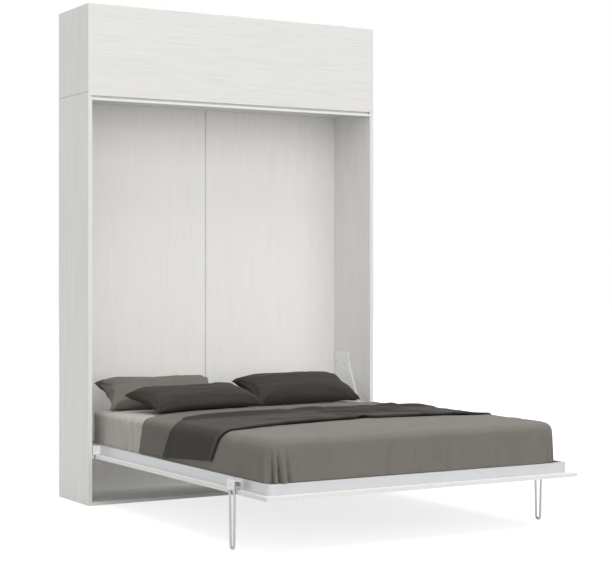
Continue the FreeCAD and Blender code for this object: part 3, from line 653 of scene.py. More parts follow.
def laid_band(name, foot, head, lift, edge, thickness, ripple, step=0.012,
              drawn=lambda u, share: u, bulk=lambda u, share: 1.0):
    """Cloth band across the made bed, hem to hem: a closed thin shell with rounded rims and
    stitched hems. Its functions give the foot and head edges, the height of its folds, how far
    it is drawn in and how many layers thick it is."""
    usual_length = 0.62
    hem_fullness = 1.16
    stitch_width, stitch_depth = 0.0016, 0.45
    rim_width, rim_share = 0.004, 0.35
    girth = half_girth(lift, edge, HEM + thickness / 2)
    hem = sizes().hem_width
    rim = [0.0, 0.0012, 0.004, 0.009, hem - 0.0035, hem - 0.0012, hem + 0.0012, hem + 0.0045]
    columns = [place - girth for place in marks(2 * girth, step, rim)]
    rows = marks(1.0, 1.0 / max(8, round(usual_length / step)),
                 [place / usual_length for place in rim])
    upper, under = [], []
    for u in columns:
        at, _ = bed_skin(u, 0, lift, edge)
        drop = max(0.0, SHOULDER + lift - at.z)
        low, high = foot(at.x, drop), head(at.x, drop)
        for share in rows:
            point, out = bed_skin(drawn(u, share), low + (high - low) * share, lift, edge)
            near = min(girth - abs(u), share * (high - low), (1 - share) * (high - low))
            layers = bulk(u, share)
            point = point + out * (ripple(point, u, share) + thickness * (layers - 1) / 2)
            full = thickness * layers * (hem_fullness if near < hem else 1.0)
            stitch = stitch_depth * ridge(near - hem, stitch_width) / layers
            rounding = rim_share + (1 - rim_share) * (near / (rim_width * layers)) ** 0.5
            thick = full * (1 - stitch) * min(1.0, rounding)
            upper.append(point + out * thick / 2)
            under.append(point - out * thick / 2)
    piece = outward(mesh_piece(name, upper + under, shell_faces(len(columns), len(rows))))
    return smooth(piece, 75)


def soft_block(name, low, high, corner, wide_corner, edge, voxel):
    """Rounded block in even small faces: a cube, its upright edges bevelled, the right foot one
    more widely, then its top edges, remeshed and smoothed."""
    near = 0.001

    def right_foot(middle, run):
        return abs(run.z) > 0.9 and middle.x > 0 and middle.y < MIDDLE_Y

    def other_corners(middle, run):
        at_side = abs(middle.x) > high[0] - near
        at_end = min(middle.y - low[1], high[1] - middle.y) < near
        return (abs(run.z) > 0.9 and at_side and at_end
                and (middle.x < 0 or middle.y > MIDDLE_Y))

    piece = block(name, low, high)
    round_edges(piece, wide_corner, 12, right_foot)
    round_edges(piece, corner, 8, other_corners)
    round_edges(piece, edge, 8,
                lambda middle, run: middle.z > high[2] - near / 2 and abs(run.z) < 0.1)
    apply_modifier(piece, "REMESH", mode="VOXEL", voxel_size=voxel, use_smooth_shade=True)
    return apply_modifier(piece, "SMOOTH", factor=0.5, iterations=3)


def swell(piece, cap, pressure=4.0, frames=20):
    """Let the filling push the cloth out for some frames, and hold each point within the cap."""
    start = [point.co.copy() for point in piece.data.vertices]
    modifier = piece.modifiers.new("Filling", "CLOTH")
    settings = modifier.settings
    settings.quality = 5
    settings.mass = 0.25
    settings.tension_stiffness = 18
    settings.compression_stiffness = 18
    settings.shear_stiffness = 6
    settings.bending_stiffness = 0.4
    settings.use_pressure = True
    settings.uniform_pressure_force = pressure
    settings.shrink_min = -0.05
    settings.effector_weights.gravity = 0
    modifier.collision_settings.use_collision = False
    modifier.point_cache.frame_start = 1
    modifier.point_cache.frame_end = frames
    scene = bpy.context.scene
    for number in range(1, frames + 1):
        scene.frame_set(number)
    shaped = piece.evaluated_get(bpy.context.evaluated_depsgraph_get())
    ends = [point.co.copy() for point in shaped.data.vertices]
    piece.modifiers.remove(modifier)
    scene.frame_set(1)
    for point, first, last in zip(piece.data.vertices, start, ends):
        move = last - first
        if move.length > cap:
            move = move * (cap / move.length)
        point.co = first + move
    piece.data.update()
    return piece


# Bedding

# Folds of the fitted sheet's left side: place along the bed, height and width
SIDE_FOLDS = ((-0.452, 0.0075, 0.013), (-0.512, 0.0120, 0.012), (-0.546, -0.0080, 0.012),
              (-0.594, 0.0125, 0.013))

# Edges of the throw and of the top sheet over the bed, as points (x, y)
THROW_HEAD = ((-0.80, -1.078), (-0.72, -1.000), (-0.634, -0.890), (-0.40, -0.815),
              (-0.059, -0.785), (0.20, -0.815), (0.45, -0.825), (0.80, -0.790))
THROW_FOOT = ((-0.80, -1.592), (-0.60, -1.556), (-0.261, -1.482), (-0.04, -1.452),
              (0.045, -1.420), (0.13, -1.450), (0.45, -1.474), (0.683, -1.504), (0.80, -1.472))
SHEET_HEAD = ((-0.80, -0.712), (-0.74, -0.665), (-0.68, -0.615), (-0.58, -0.545),
              (-0.42, -0.485), (-0.20, -0.440), (0.10, -0.415), (0.80, -0.405))
THROW_LIFT, THROW_EDGE = 0.0142, 0.052
SHEET_LIFT = 0.0024
MOUTH_X = 0.045     # where the throw's foot hem gapes

# Loose folds of the throw: from (x, y) to (x, y), and their height
THROW_FOLDS = ((-0.82, -1.015, -0.03, -1.000, 0.023), (-0.09, -0.925, 0.12, -0.985, 0.022),
               (0.06, -0.925, 0.32, -0.975, 0.016), (0.28, -0.915, 0.56, -0.960, 0.014),
               (0.44, -0.930, 0.82, -0.990, 0.019), (-0.02, -1.060, 0.26, -1.240, 0.015),
               (0.13, -1.030, 0.38, -1.200, 0.014), (-0.50, -1.250, 0.02, -1.330, 0.006),
               (0.24, -1.010, 0.54, -1.110, 0.013), (-0.02, -1.230, 0.14, -1.370, 0.011),
               (0.30, -1.160, 0.58, -1.290, 0.011))

# Pleats round the duvet's foot corners: place from the corner towards the foot, width and height
PLEATS = ((-0.048, 0.011, 0.0080), (0.000, 0.006, -0.0130), (0.019, 0.009, 0.0200),
          (0.038, 0.0055, -0.0180), (0.062, 0.012, 0.0230), (0.086, 0.007, -0.0130),
          (0.112, 0.012, 0.0070), (0.160, 0.016, 0.0050))

# Upright folds of the duvet's foot face: place across it and strength
FOOT_FOLDS = ((-0.222, 1.0), (0.106, 0.8), (0.392, 1.0), (-0.47, 0.5), (0.63, 0.6))


def fitted_sheet():
    """Mattress in its fitted sheet: crowned top, drawn-in sides and upright folds near the head."""
    high = (mattress_high.x, mattress_high.y, SHOULDER)
    piece = soft_block("mattress_sheeted", mattress_low, high, corner=0.060, wide_corner=0.135,
                       edge=EDGE, voxel=0.0105)
    waist = (mattress_low.z + SHOULDER - EDGE) / 2
    belly_depth, pucker_depth, pull_depth, fold_lean = 0.003, 0.0040, 0.0012, 0.12

    def move(place, out):
        above = place.z - waist
        depth = clamp(above / (SHOULDER - waist))
        side = 1 - abs(out.z)
        belly = max(0.0, 1 - (above / (waist - mattress_low.z)) ** 2)
        pucker = crease(place.x * 6, place.y * 13, place.z * 1.8, 2.6)
        pull = crease(place.x * 9 + 3, place.y * 5, 7.3, 4.0)
        height = -side * (belly * belly_depth + (1 - pucker) * pucker_depth)
        height -= (1 - side) * (1 - pull) * pull_depth
        if place.x < 0:
            for y, rise, width in SIDE_FOLDS:
                fold = ridge(place.y - y - fold_lean * above, width)
                height += side * rise * fold * min(1.0, depth * 0.4 + 0.6)
        return Vector((0, 0, crown(place.x, place.y) * depth)) + out * height

    reshape(piece, move)
    smooth(piece, 80)
    dress(piece, "bed", cloth("fitted_sheet_cotton", colours().fitted_sheet[:]),
          ("mattress",))


def top_sheet():
    """Top sheet folded back over the bed, its foot end under the duvet."""
    fold_height, pucker_height = 0.0020, 0.0024

    def ripple(point, u, share):
        height = fold_height * crease(point.x * 5, point.y * 9, point.z * 6, 3.2)
        if abs(u) > HALF:
            height += pucker_height * crease(point.x * 3, point.y * 26, 4.1, 2.8)
        return height

    piece = laid_band("top_sheet_laid", foot=slanted(THROW_HEAD, 0.11, shift=-0.240),
                      head=slanted(SHEET_HEAD, 0.058), lift=SHEET_LIFT, edge=EDGE,
                      thickness=sizes().sheet_thickness, ripple=ripple)
    dress(piece, "bed", cloth("top_sheet_cotton", colours().top_sheet[:]),
          ("top_sheet",))


def laid_folds(x, y):
    """Height of the throw's loose folds, each a ridge that is steeper on its foot side."""
    head_side, foot_side = 0.052, 0.015
    height = 0.0
    for x0, y0, x1, y1, rise in THROW_FOLDS:
        share = (x - x0) / (x1 - x0)
        if 0 < share < 1:
            gap = y - y0 - (y1 - y0) * share
            width = head_side if gap > 0 else foot_side
            height += rise * math.sin(math.pi * share) ** 0.5 * ridge(gap, width)
    return height


def throw():
    """Throw over the duvet's head end, with loose folds and a thick folded foot hem."""
    fall = half_girth(THROW_LIFT, THROW_EDGE, HEM) - HALF
    roll_height, mouth_height, wave_height, small_height = 0.010, 0.010, 0.0036, 0.0034
    side_quiet = 0.35           # share of the folds' height left where it hangs down
    hem_layers = 1.9            # cloth folded under along the foot hem
    short_head, short_foot = 0.006, 0.036   # how far the left hem is drawn up at each end

    def ripple(point, u, share):
        x, y = point.x, point.y
        uneven = 0.6 + 0.6 * noise.noise(Vector((x * 3.1, 0, 2)))
        roll = roll_height * ridge(share, 0.055) * uneven
        mouth = mouth_height * ridge(x - MOUTH_X, 0.026) * ridge(share, 0.07)
        zone = ridge(x - 0.22, 0.42) * min(1.0, share * 2.2)
        waves = wave_height * zone * crease(x * 2.2 - y * 2.6, y * 6.0 + x, 1.7, 2.0)
        small = small_height * crease(x * 5, y * 8, point.z * 4)
        quiet = side_quiet + (1 - side_quiet) * clamp((HALF - 0.01 - abs(u)) / 0.09)
        return max(0.0, roll + mouth + (waves + laid_folds(x, y) + small) * quiet)

    def bulk(u, share):
        on_side = clamp((abs(u) - 0.60) / 0.18)
        gape = ridge(u - MOUTH_X, 0.030)
        return 1 + hem_layers * ridge(share, 0.040) * (1 - 0.75 * on_side) * (1 - 0.9 * gape)

    def drawn(u, share):
        past = -u - HALF
        if past <= 0:
            return u
        return -HALF - past * (1 - (short_head + short_foot * (1 - share)) / fall)

    piece = laid_band("throw_laid", foot=slanted(THROW_FOOT, 0.10),
                      head=slanted(THROW_HEAD, 0.12), lift=THROW_LIFT, edge=THROW_EDGE,
                      thickness=sizes().throw_thickness, ripple=ripple, step=0.0078,
                      drawn=drawn, bulk=bulk)
    dress(piece, "bed", cloth("throw_cotton", colours().throw[:], sheen=0.06),
          ("throw",))


def duvet():
    """Duvet over the foot end, with soft pleats where it falls over the two foot corners."""
    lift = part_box("duvet")[1].x - HALF - 0.0035
    fall = SHOULDER - HEM
    corner_x, corner_y = HALF + lift, mattress_low.y - lift
    piece = soft_block("duvet_laid", (-corner_x, corner_y, HEM - 0.03),
                       (corner_x, -0.55, SHOULDER + lift), corner=0.066, wide_corner=0.150,
                       edge=0.056, voxel=0.0086)
    edge = slanted(THROW_HEAD, 0.10, shift=-0.030)
    throw_edge = slanted(THROW_FOOT, 0.10)
    wrinkle = sizes().wrinkle
    fold_height, fold_hollow, side_fold_height = 0.0125, 0.0065, 0.0030
    foot_bulge, pressed_depth = 0.008, 0.004
    pleat_start, pleat_lean, right_pleats = 0.03, 0.012, 0.55

    def pleats(place, out):
        share = clamp((SHOULDER - pleat_start - place.z) / (fall - pleat_start))
        if share <= 0 or abs(out.z) > 0.75:
            return 0.0
        path = corner_x - abs(place.x) - (place.y - corner_y) - pleat_lean * share
        spread = 0.75 + 0.35 * share
        swing = sum(ridge(path - at, width * spread) * height for at, width, height in PLEATS)
        return (right_pleats if place.x > 0 else 1.0) * share ** 0.7 * swing

    def foot_folds(place, depth):
        height = 0.0
        for x, strength in FOOT_FOLDS:
            height += fold_height * strength * ridge(place.x - x - 0.1 * (place.z - 0.4), 0.009)
            height -= fold_hollow * strength * ridge(place.x - x - 0.022, 0.010)
        return height * (1 - depth)

    def move(place, out):
        depth = clamp((place.z - HEM) / fall)
        soft = noise.noise(Vector((place.x * 2.6, place.y * 3.4, place.z * 2))) * 0.5 + 0.5
        folds = crease(place.x * 3.2 + place.y * 1.6, place.y * 6.5, 9.1, 3.6)
        faint = crease(place.x * 9, place.y * 8, place.z * 3.0, 3.2)
        height = wrinkle * (0.7 * soft + max(0.0, out.z) * 0.7 * folds + 0.35 * faint)
        if out.y < -0.5:
            height += foot_folds(place, depth)
        if abs(out.x) > 0.5:
            height += side_fold_height * crease(2.0, place.y * 7.0, place.z * 1.5) * (1 - depth)
        height += pleats(place, out)
        if out.y < 0:
            height += foot_bulge * (2 * out.y * out.z) ** 2
        under_throw = place.y - throw_edge(place.x, max(0.0, SHOULDER - place.z))
        pressed = clamp((under_throw - 0.004) / 0.030)
        return (Vector((0, 0, crown(place.x, place.y) * depth))
                + out * (height * (1 - pressed) - pressed_depth * pressed))

    pick(piece, "FACE", lambda middle, normal: corner_x - abs(middle.x) < 0.18
         and middle.y - corner_y < 0.13 and middle.z < SHOULDER - 0.02)
    bpy.ops.mesh.subdivide(number_cuts=1)
    leave_edit()
    apply_modifier(piece, "SMOOTH", factor=0.5, iterations=1)
    reshape(piece, move)
    pick(piece, "FACE", everything)
    bpy.ops.mesh.bisect(plane_co=(0, 0, HEM + 0.0004), plane_no=(0, 0, 1), clear_inner=True)
    leave_edit()
    trim_head(piece, edge)
    apply_modifier(piece, "SOLIDIFY", thickness=sizes().duvet_thickness, offset=-1.0,
                   use_even_offset=False)
    smooth(piece, 60)
    dress(piece, "bed", cloth("duvet_cotton", colours().duvet[:]), ("duvet",))


def trim_head(piece, edge):
    """Cut a cloth off along its head edge and draw its cut rim onto that edge."""
    def beyond(place):
        return place.y - edge(place.x, max(0.0, SHOULDER - place.z))

    mesh = bmesh.new()
    mesh.from_mesh(piece.data)
    cut = [face for face in mesh.faces if beyond(face.calc_center_median()) > 0]
    bmesh.ops.delete(mesh, geom=cut, context="FACES")
    for point in mesh.verts:
        if point.is_boundary and abs(beyond(point.co)) < 0.03 and point.co.z > HEM + 0.002:
            point.co.y -= beyond(point.co)
    mesh.to_mesh(piece.data)
    mesh.free()


def pillow_shape(name, length, depth, thickness, taper, seed):
    """Two cloths sewn at a knife edge round a pillow's outline, with thin ears."""
    wide, deep = 80, 44         # faces along and across
    reach = 0.92                # below 1, the faces get narrower towards the ends
    end_draw, side_draw = 0.055, 0.085
    ear_droop, lump_height, drag_height = 0.020, 0.0035, 0.0040
    points, index = [], {}

    def half_thick(p, q):
        ends = max(0.0, 1 - abs(p) ** taper) ** 0.66
        sides = max(0.0, 1 - abs(q) ** 2.8) ** 0.60
        return thickness / 2 * ends * sides

    def spot(i, j, up):
        on_rim = i in (0, wide) or j in (0, deep)
        key = (i, j, 0 if on_rim else up)
        if key not in index:
            p = math.sin((i / wide - 0.5) * math.pi * reach) / math.sin(0.5 * math.pi * reach)
            q = 2 * j / deep - 1
            x = p * length / 2 * (1 - end_draw * (1 - q * q) * abs(p))
            y = q * depth / 2 * (1 - side_draw * (1 - p * p) * abs(q))
            z = -ear_droop * abs(p) ** 5 * abs(q) ** 3
            if not on_rim:
                z += up * half_thick(p, q)
                z += up * lump_height * noise.noise(Vector((x * 4, y * 14, up * 3.0 + seed)))
                drag = crease(x * 3.2, y * 15, seed + up, 2.6) - 0.4
                z += up * drag_height * drag * (1 - abs(p)) ** 0.5
            index[key] = len(points)
            points.append(Vector((x, y, z)))
        return index[key]

    faces = []
    for i in range(wide):
        for j in range(deep):
            for up in (1, -1):
                corners = ((i, j), (i + 1, j), (i + 1, j + 1), (i, j + 1))
                ring = [spot(*corner, up) for corner in corners]
                faces.append(ring if up > 0 else ring[::-1])
    return mesh_piece(name, points, faces)


def pillow(node, length, thickness, lean, turn, slot, seed, aside=(0.0, 0.0), taper=5.0):
    """Filled pillow: swelled by its filling, puckered along its seams, leaned and turned by
    degrees, set over its solid and flat where it rests."""
    depth, sink = 0.304, 0.006
    ear_height, wave_height, drag_height = 0.0036, 0.0012, 0.0030
    piece = pillow_shape(node + "_filled", length, depth, thickness, taper, seed)
    swell(piece, sizes().pillow_cap)

    def crimp(place, out):
        end, side = length / 2 - abs(place.x), depth / 2 - abs(place.y)
        rim = clamp(min(end, side) / 0.012)
        corner = (1 if place.x > 0 else 3) + (5 if place.y > 0 else 9) + seed
        fan = math.atan2(side + 0.004, end + 0.004) * 13 + corner
        ear = ear_height * ridge(math.hypot(end, side), 0.105) * math.sin(fan)
        shake = 3 * noise.noise(Vector((place.x * 20, seed, 0)))
        wave = wave_height * ridge(end, 0.060) * math.sin(place.y * 190 + shake)
        drag = crease(place.x * 7, place.y * 20, seed + out.z, 2.4) - 0.3
        return out * rim * (ear + wave + drag_height * drag * ridge(end, 0.22))

    reshape(piece, crimp)
    turned = Euler((0, 0, math.radians(turn))).to_matrix().to_4x4()
    piece.data.transform(turned @ Euler((math.radians(lean), 0, 0)).to_matrix().to_4x4())
    low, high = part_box(node)
    xs, ys, zs = zip(*(point.co for point in piece.data.vertices))
    shift = Vector(((low.x + high.x - min(xs) - max(xs)) / 2 + aside[0],
                    (low.y + high.y - min(ys) - max(ys)) / 2 + aside[1],
                    low.z - min(zs) - sink))
    piece.data.transform(Matrix.Translation(shift))

    def rest(place, out):
        soft, gap_below, sheet_height = 0.012, 0.0007, 0.0036
        on_sheet = clamp((bow(SHEET_HEAD, place.x) - place.y) / 0.015)
        floor = SHOULDER + crown(place.x, place.y) + gap_below + sheet_height * on_sheet
        gap = place.z - floor
        if gap >= soft:
            return Vector((0, 0, 0))
        return Vector((0, 0, soft * math.exp(gap / soft - 1) - gap))

    reshape(piece, rest)
    apply_modifier(piece, "SUBSURF", levels=1, render_levels=1)
    smooth(piece, 80)
    dress(piece, "bed", bpy.data.materials[slot + "_cotton"], (node,))
    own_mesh(piece)


def pillows():
    """One light pillow at the back and two dark ones."""
    cloth("pillow_light_cotton", colours().pillow_light[:])
    cloth("pillow_dark_cotton", colours().pillow_dark[:], sheen=0.04)
    pillow("pillow_back_left", length=0.665, thickness=0.108, lean=26, turn=-4,
           slot="pillow_light", seed=1.3, aside=(0.012, -0.018))
    pillow("pillow_front_left", length=0.740, thickness=0.094, lean=15, turn=13,
           slot="pillow_dark", seed=4.7)
    pillow("pillow_right", length=0.700, thickness=0.120, lean=24, turn=5,
           slot="pillow_dark", seed=8.1, aside=(-0.036, 0.0), taper=3.4)


# Legs

LEG_X = 0.857
LEG_SPLAY = math.radians(1.6)
ROD_RADIUS, BEND_RADIUS = 0.006, 0.016
HUB_INNER, HUB_OUTER, HUB_RADIUS, BORE_RADIUS = 0.8253, 0.8632, 0.010, 0.0052
TIE_HALF = Vector((0.0025, 0.0235, 0.008))


def leg(side, name):
    """Leg: a U of smooth round rod, spun round its bend, with its tie bar and its bored hub."""
    low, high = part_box("leg_" + name)
    pin_low, pin_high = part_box("leg_pins")
    x, y, z = side * LEG_X, (low.y + high.y) / 2, (pin_low.z + pin_high.z) / 2
    bend_z = BEND_RADIUS + ROD_RADIUS
    sine, cosine = math.sin(LEG_SPLAY), math.cos(LEG_SPLAY)
    start = Vector((x, y + BEND_RADIUS * cosine, bend_z - BEND_RADIUS * sine))
    length = (high.z - start.z) / cosine
    near_side, far_side = Vector((0, sine, cosine)), Vector((0, -sine, cosine))
    bpy.ops.object.select_all(action="DESELECT")
    bpy.ops.mesh.primitive_circle_add(vertices=28, radius=ROD_RADIUS, fill_type="NGON",
                                      location=start + near_side * length,
                                      rotation=aim(near_side).to_euler())
    rod = added("rod")
    pick(rod, "FACE", everything)
    draw_out(-near_side * length)
    bpy.ops.mesh.spin(steps=18, angle=math.pi - 2 * LEG_SPLAY, center=(x, y, bend_z),
                      axis=(1, 0, 0))
    draw_out(far_side * length)
    leave_edit()
    outward(rod)
    middle = Vector((x, y, z))
    tie = block("tie", middle - TIE_HALF, middle + TIE_HALF)
    round_edges(tie, width=0.0012, segments=2)
    inner, outer = sorted((side * HUB_INNER, side * HUB_OUTER))
    hub = round_bar("hub", (inner, y, z), (outer, y, z), HUB_RADIUS, sides=40)
    round_edges(hub, width=0.0008, segments=2, test=lambda place, run: abs(run.x) < 0.1
                and math.hypot(place.y - y, place.z - z) > HUB_RADIUS / 2)
    spare = 0.01
    bore = round_bar("bore", (inner - spare, y, z), (outer + spare, y, z), BORE_RADIUS, sides=40)
    for part in (tie, hub):
        apply_modifier(part, "BOOLEAN", operation="DIFFERENCE", object=bore, solver="EXACT")
    bpy.data.objects.remove(bore)
    piece = smooth(join("leg_" + name + "_rod", [rod, tie, hub]))
    dress(piece, "leg_" + name, bpy.data.materials["leg_chrome_plate"],
          ("leg_" + name,))


# Fittings

def screw_model(radius, height=0.0018):
    """Pan-head screw with a domed rim and a round socket, made along +Z."""
    piece = round_bar("screw", (0, 0, 0), (0, 0, height), radius, 24)
    pick(piece, "FACE", looks_up)
    bpy.ops.mesh.inset(thickness=radius * 0.45)
    draw_out((0, 0, -height * 0.6))
    leave_edit()
    round_edges(piece, height * 0.45, 3, lambda middle, run: middle.z > height * 0.95
                and off_axis(middle) > radius * 0.9)
    return smooth(piece, 35)


def cover_model(radius, height=0.0016):
    """Cam cover: a thin disc with a raised, rounded rim, made along +Z."""
    piece = round_bar("cover", (0, 0, 0), (0, 0, height), radius, 32)
    pick(piece, "FACE", looks_up)
    bpy.ops.mesh.inset(thickness=radius * 0.16)
    draw_out((0, 0, -height * 0.35))
    leave_edit()
    round_edges(piece, height * 0.25, 2, lambda middle, run: middle.z > height * 0.9)
    return smooth(piece, 35)


def nut_model(across, height, dome):
    """Domed hexagon nut, made along +Z."""
    piece = round_bar("nut", (0, 0, 0), (0, 0, height), across / 2, 6)
    pick(piece, "FACE", looks_up)
    bpy.ops.mesh.inset(thickness=across * 0.08)
    for share in (0.5, 0.32, 0.18):
        narrowing = 0.86 - 0.12 * (0.5 - share)
        draw_out((0, 0, dome * share))
        bpy.ops.transform.resize(value=(narrowing, narrowing, 1))
    leave_edit()
    round_edges(piece, 0.0004, 2)
    return smooth(piece, 30)


def ring_model(radius, hole, width):
    """Collar with rounded rims and a hole, made along +Z."""
    piece = round_bar("ring", (0, 0, 0), (0, 0, width), radius, 36)
    pick(piece, "FACE", lambda middle, normal: abs(normal.z) > 0.9)
    bpy.ops.mesh.inset(thickness=radius - hole)
    bpy.ops.mesh.bridge_edge_loops()
    leave_edit()
    round_edges(piece, width * 0.12, 2, lambda middle, run: abs(run.z) < 0.1
                and off_axis(middle) > radius * 0.95)
    return smooth(outward(piece), 35)


def low_head_model(radius, height):
    """Low riveted head with a rounded rim, made along +Z."""
    piece = round_bar("low_head", (0, 0, 0), (0, 0, height), radius, 32)
    round_edges(piece, height * 0.6, 3, lambda middle, run: middle.z > height * 0.9
                and abs(run.z) < 0.1)
    return smooth(piece, 50)


# Places of the small fittings, in metres
COVER_Y, COVER_GAP = (-0.13, 0.10), 0.024
PLATE_SCREWS_YZ = ((0.150, 0.330), (0.150, 0.470), (0.150, 0.700), (0.060, 0.690),
                   (0.020, 0.560), (-0.030, 0.400))
WALL_SCREWS_X = (-0.6, -0.2, 0.2, 0.6)
WASHER_THICKNESS = 0.0012
HINGES_X, HINGE_Y, LEAF_THICKNESS = (-0.71, -0.03, 0.65), -0.188, 0.0012
STAY_STUD_Y, STAY_STUD_Z, STAY_SCREW_GAP = 0.052, 2.3302, 0.010

# Struts: name, upper pivot, lower or outer pivot, length of the tube, and the cap's radius,
# hole and width
STRUTS = (("spring", (0.840, 0.122, 0.565), (0.840, -0.074, 0.300), 0.270, (0.0122, 0.0053, 0.006)),
          ("stay", (0.852, STAY_STUD_Y, STAY_STUD_Z), (0.852, -0.166, 2.5782), 0.205,
           (0.0074, 0.0043, 0.005)))


def cabinet_fittings():
    """Cam covers inside the cabinet, and the screws of the side plates and the wall rail."""
    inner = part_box("side_panel_right")[0].x
    levels = (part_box("lower_top_panel")[0].z - COVER_GAP,
              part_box("upper_bottom_panel")[1].z + COVER_GAP,
              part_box("upper_top_panel")[0].z - COVER_GAP)
    fit("cam_covers", cover_model(sizes().cover_radius),
        [facing((side * inner, y, z), (-side, 0, 0))
         for side, _ in SIDES for y in COVER_Y for z in levels],
        "cabinet", "cover_plastic")
    plate_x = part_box("side_plate_right")[0].x
    fit("side_plate_screws", screw_model(sizes().screw_radius),
        [facing((side * plate_x, y, z), (-side, 0, 0))
         for side, _ in SIDES for y, z in PLATE_SCREWS_YZ],
        "cabinet", "zinc_steel")
    low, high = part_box("wall_fixing_rail")
    z = (low.z + high.z) / 2
    for name, model, proud in (
            ("wall_screw_heads", nut_model(across=0.013, height=0.005, dome=0.001),
             WASHER_THICKNESS),
            ("wall_screw_washers", ring_model(radius=0.011, hole=0.0046, width=WASHER_THICKNESS),
             0)):
        fit(name, model, [facing((x, low.y - proud, z), (0, -1, 0)) for x in WALL_SCREWS_X],
            "cabinet", "zinc_steel")


def leg_fittings():
    """Riveted heads of the leg pins."""
    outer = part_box("leg_bracket_right")[1].x
    low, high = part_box("leg_pins")
    y, z = (low.y + high.y) / 2, (low.z + high.z) / 2
    fit("leg_pin_heads", low_head_model(radius=0.0085, height=0.0011),
        [facing((side * outer, y, z), (side, 0, 0)) for side, _ in SIDES],
        "bed", "zinc_steel")


def strut_fittings():
    """Seal caps at the mouths of the gas springs and stays, where their rods come out."""
    for kind, anchor, target, length, cap in STRUTS:
        for side, name in SIDES:
            start = Vector((side * anchor[0], anchor[1], anchor[2]))
            run = (Vector((side * target[0], target[1], target[2])) - start).normalized()
            fit(kind + "_cap_" + name, ring_model(*cap), [facing(start + run * length, run)],
                kind + "_tube_" + name, "cap_black")


def flap_fittings():
    """Screws of the flap's hinges and of the stays' plates."""
    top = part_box("upper_top_panel")[1].z + LEAF_THICKNESS
    for body, step in (("cabinet", 0.011), ("flap", -0.011)):
        fit("hinge_screws_" + body, screw_model(radius=0.0034, height=0.0012),
            [facing((x + shift, HINGE_Y + step, top), (0, 0, 1))
             for x in HINGES_X for shift in (0.010, 0.050)],
            body, "zinc_steel")
    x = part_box("stay_brackets")[1].x - 0.003
    gaps = (-STAY_SCREW_GAP, STAY_SCREW_GAP)
    fit("stay_plate_screws", screw_model(radius=0.0030, height=0.0014),
        [facing((side * x, STAY_STUD_Y + along, STAY_STUD_Z + up), (-side, 0, 0))
         for side, _ in SIDES for along in gaps for up in gaps],
        "cabinet", "zinc_steel")


def cabinet_joints():
    """Slim joining strips between the two cabinets' sides and over the seam of the back boards,
    both darker than the boards: painted shade for the seams' shadow lines.
    """
    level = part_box("side_panel_left")[1].z
    sunk, proud, shorter, half_width = 0.0002, 0.0004, 0.0005, 0.0011
    for side, name in SIDES:
        low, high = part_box("side_panel_" + name)
        outer = low.x if side < 0 else high.x
        x0, x1 = sorted((outer - side * sunk, outer + side * proud))
        # A dark grey strip on the flush meeting of the sides: painted shade, standing in for the
        # shadow line of their joint.
        seam = block("side_joint_shade_" + name, (x0, low.y + shorter, level - half_width),
                     (x1, high.y - shorter, level + half_width))
        round_edges(seam, 0.0002, 2, lambda middle, run: abs(run.y) > 0.9
                    and abs(middle.x) > abs(outer) + proud * 0.75)
        smooth(seam)
        dress(seam, "cabinet", bpy.data.materials["seam_shade_grey"])
    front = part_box("back_panel_right")[0].y
    bottom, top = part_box("bottom_board")[1].z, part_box("lower_top_panel")[0].z
    half_width, thickness, gap = 0.0035, 0.0009, 0.001
    # A joining strip over the back boards' seam, darker than the boards: a real strip, its darker
    # tone painted shade for the seam's line.
    strip = block("back_joint_shade_strip", (-half_width, front - thickness, bottom + gap),
                  (half_width, front, top - gap))
    round_edges(strip, 0.0004, 2, lambda middle, run: abs(run.z) > 0.9
                and middle.y < front - thickness / 2)
    smooth(strip)
    dress(strip, "cabinet", bpy.data.materials["joint_plastic_seam_shade"])


# Studio

WHITE = (1, 1, 1, 1)
FLOOR_GREY = (0.50, 0.50, 0.50, 1)
FLOOR_GLOW = 0.74       # with the light on it, the floor then shows white


def seen_directly(tree, strength):
    """Strength for what the camera sees straight, in metal or through glass, and 0 elsewhere."""
    path = tree.nodes.new("ShaderNodeLightPath")
    return total(tree, *[(path.outputs[kind], strength)
                         for kind in ("Is Camera Ray", "Is Glossy Ray", "Is Transmission Ray")])


def plain_floor():
    """Pale floor that keeps the bed's shadow and shows white."""
    bpy.ops.object.select_all(action="DESELECT")
    bpy.ops.mesh.primitive_plane_add(size=60, location=(0, 0, -0.0005))
    floor = added("floor")
    material, tree, shader, _ = start_material("floor_white", 0.9)
    shader.inputs["Base Color"].default_value = FLOOR_GREY
    shader.inputs["Specular IOR Level"].default_value = 0.0
    shader.inputs["Emission Color"].default_value = WHITE
    tree.links.new(seen_directly(tree, FLOOR_GLOW), shader.inputs["Emission Strength"])
    floor.data.materials.append(material)


def room_light(scene, strength):
    """Even light all round, from a room that shows white."""
    world = scene.world or bpy.data.worlds.new("room")
    scene.world = world
    world.use_nodes = True
    tree = world.node_tree
    tree.nodes.clear()
    shade = tree.nodes.new("ShaderNodeBackground")
    shade.inputs["Color"].default_value = WHITE
    tree.links.new(span(tree, seen_directly(tree, 1.0), strength, 1.0), shade.inputs["Strength"])
    output = tree.nodes.new("ShaderNodeOutputWorld")
    tree.links.new(shade.outputs["Background"], output.inputs["Surface"])


def wide_light(name, toward, energy):
    """Soft light from one direction."""
    toward = Vector(toward).normalized()
    bpy.ops.object.light_add(type="SUN", location=toward * 6, rotation=aim(toward).to_euler())
    light = bpy.context.object
    light.name = name
    light.data.energy = energy
    light.data.angle = math.radians(60)


def set_camera(scene, place, turn, lens):
    """Level camera at the photograph's place."""
    bpy.ops.object.camera_add(location=place, rotation=(math.pi / 2, 0, turn))
    camera = bpy.context.object
    camera.name = "camera"
    camera.data.lens = lens
    camera.data.sensor_width = 36
    camera.data.shift_y = -0.018
    camera.data.clip_end = 100
    scene.camera = camera


# Operators

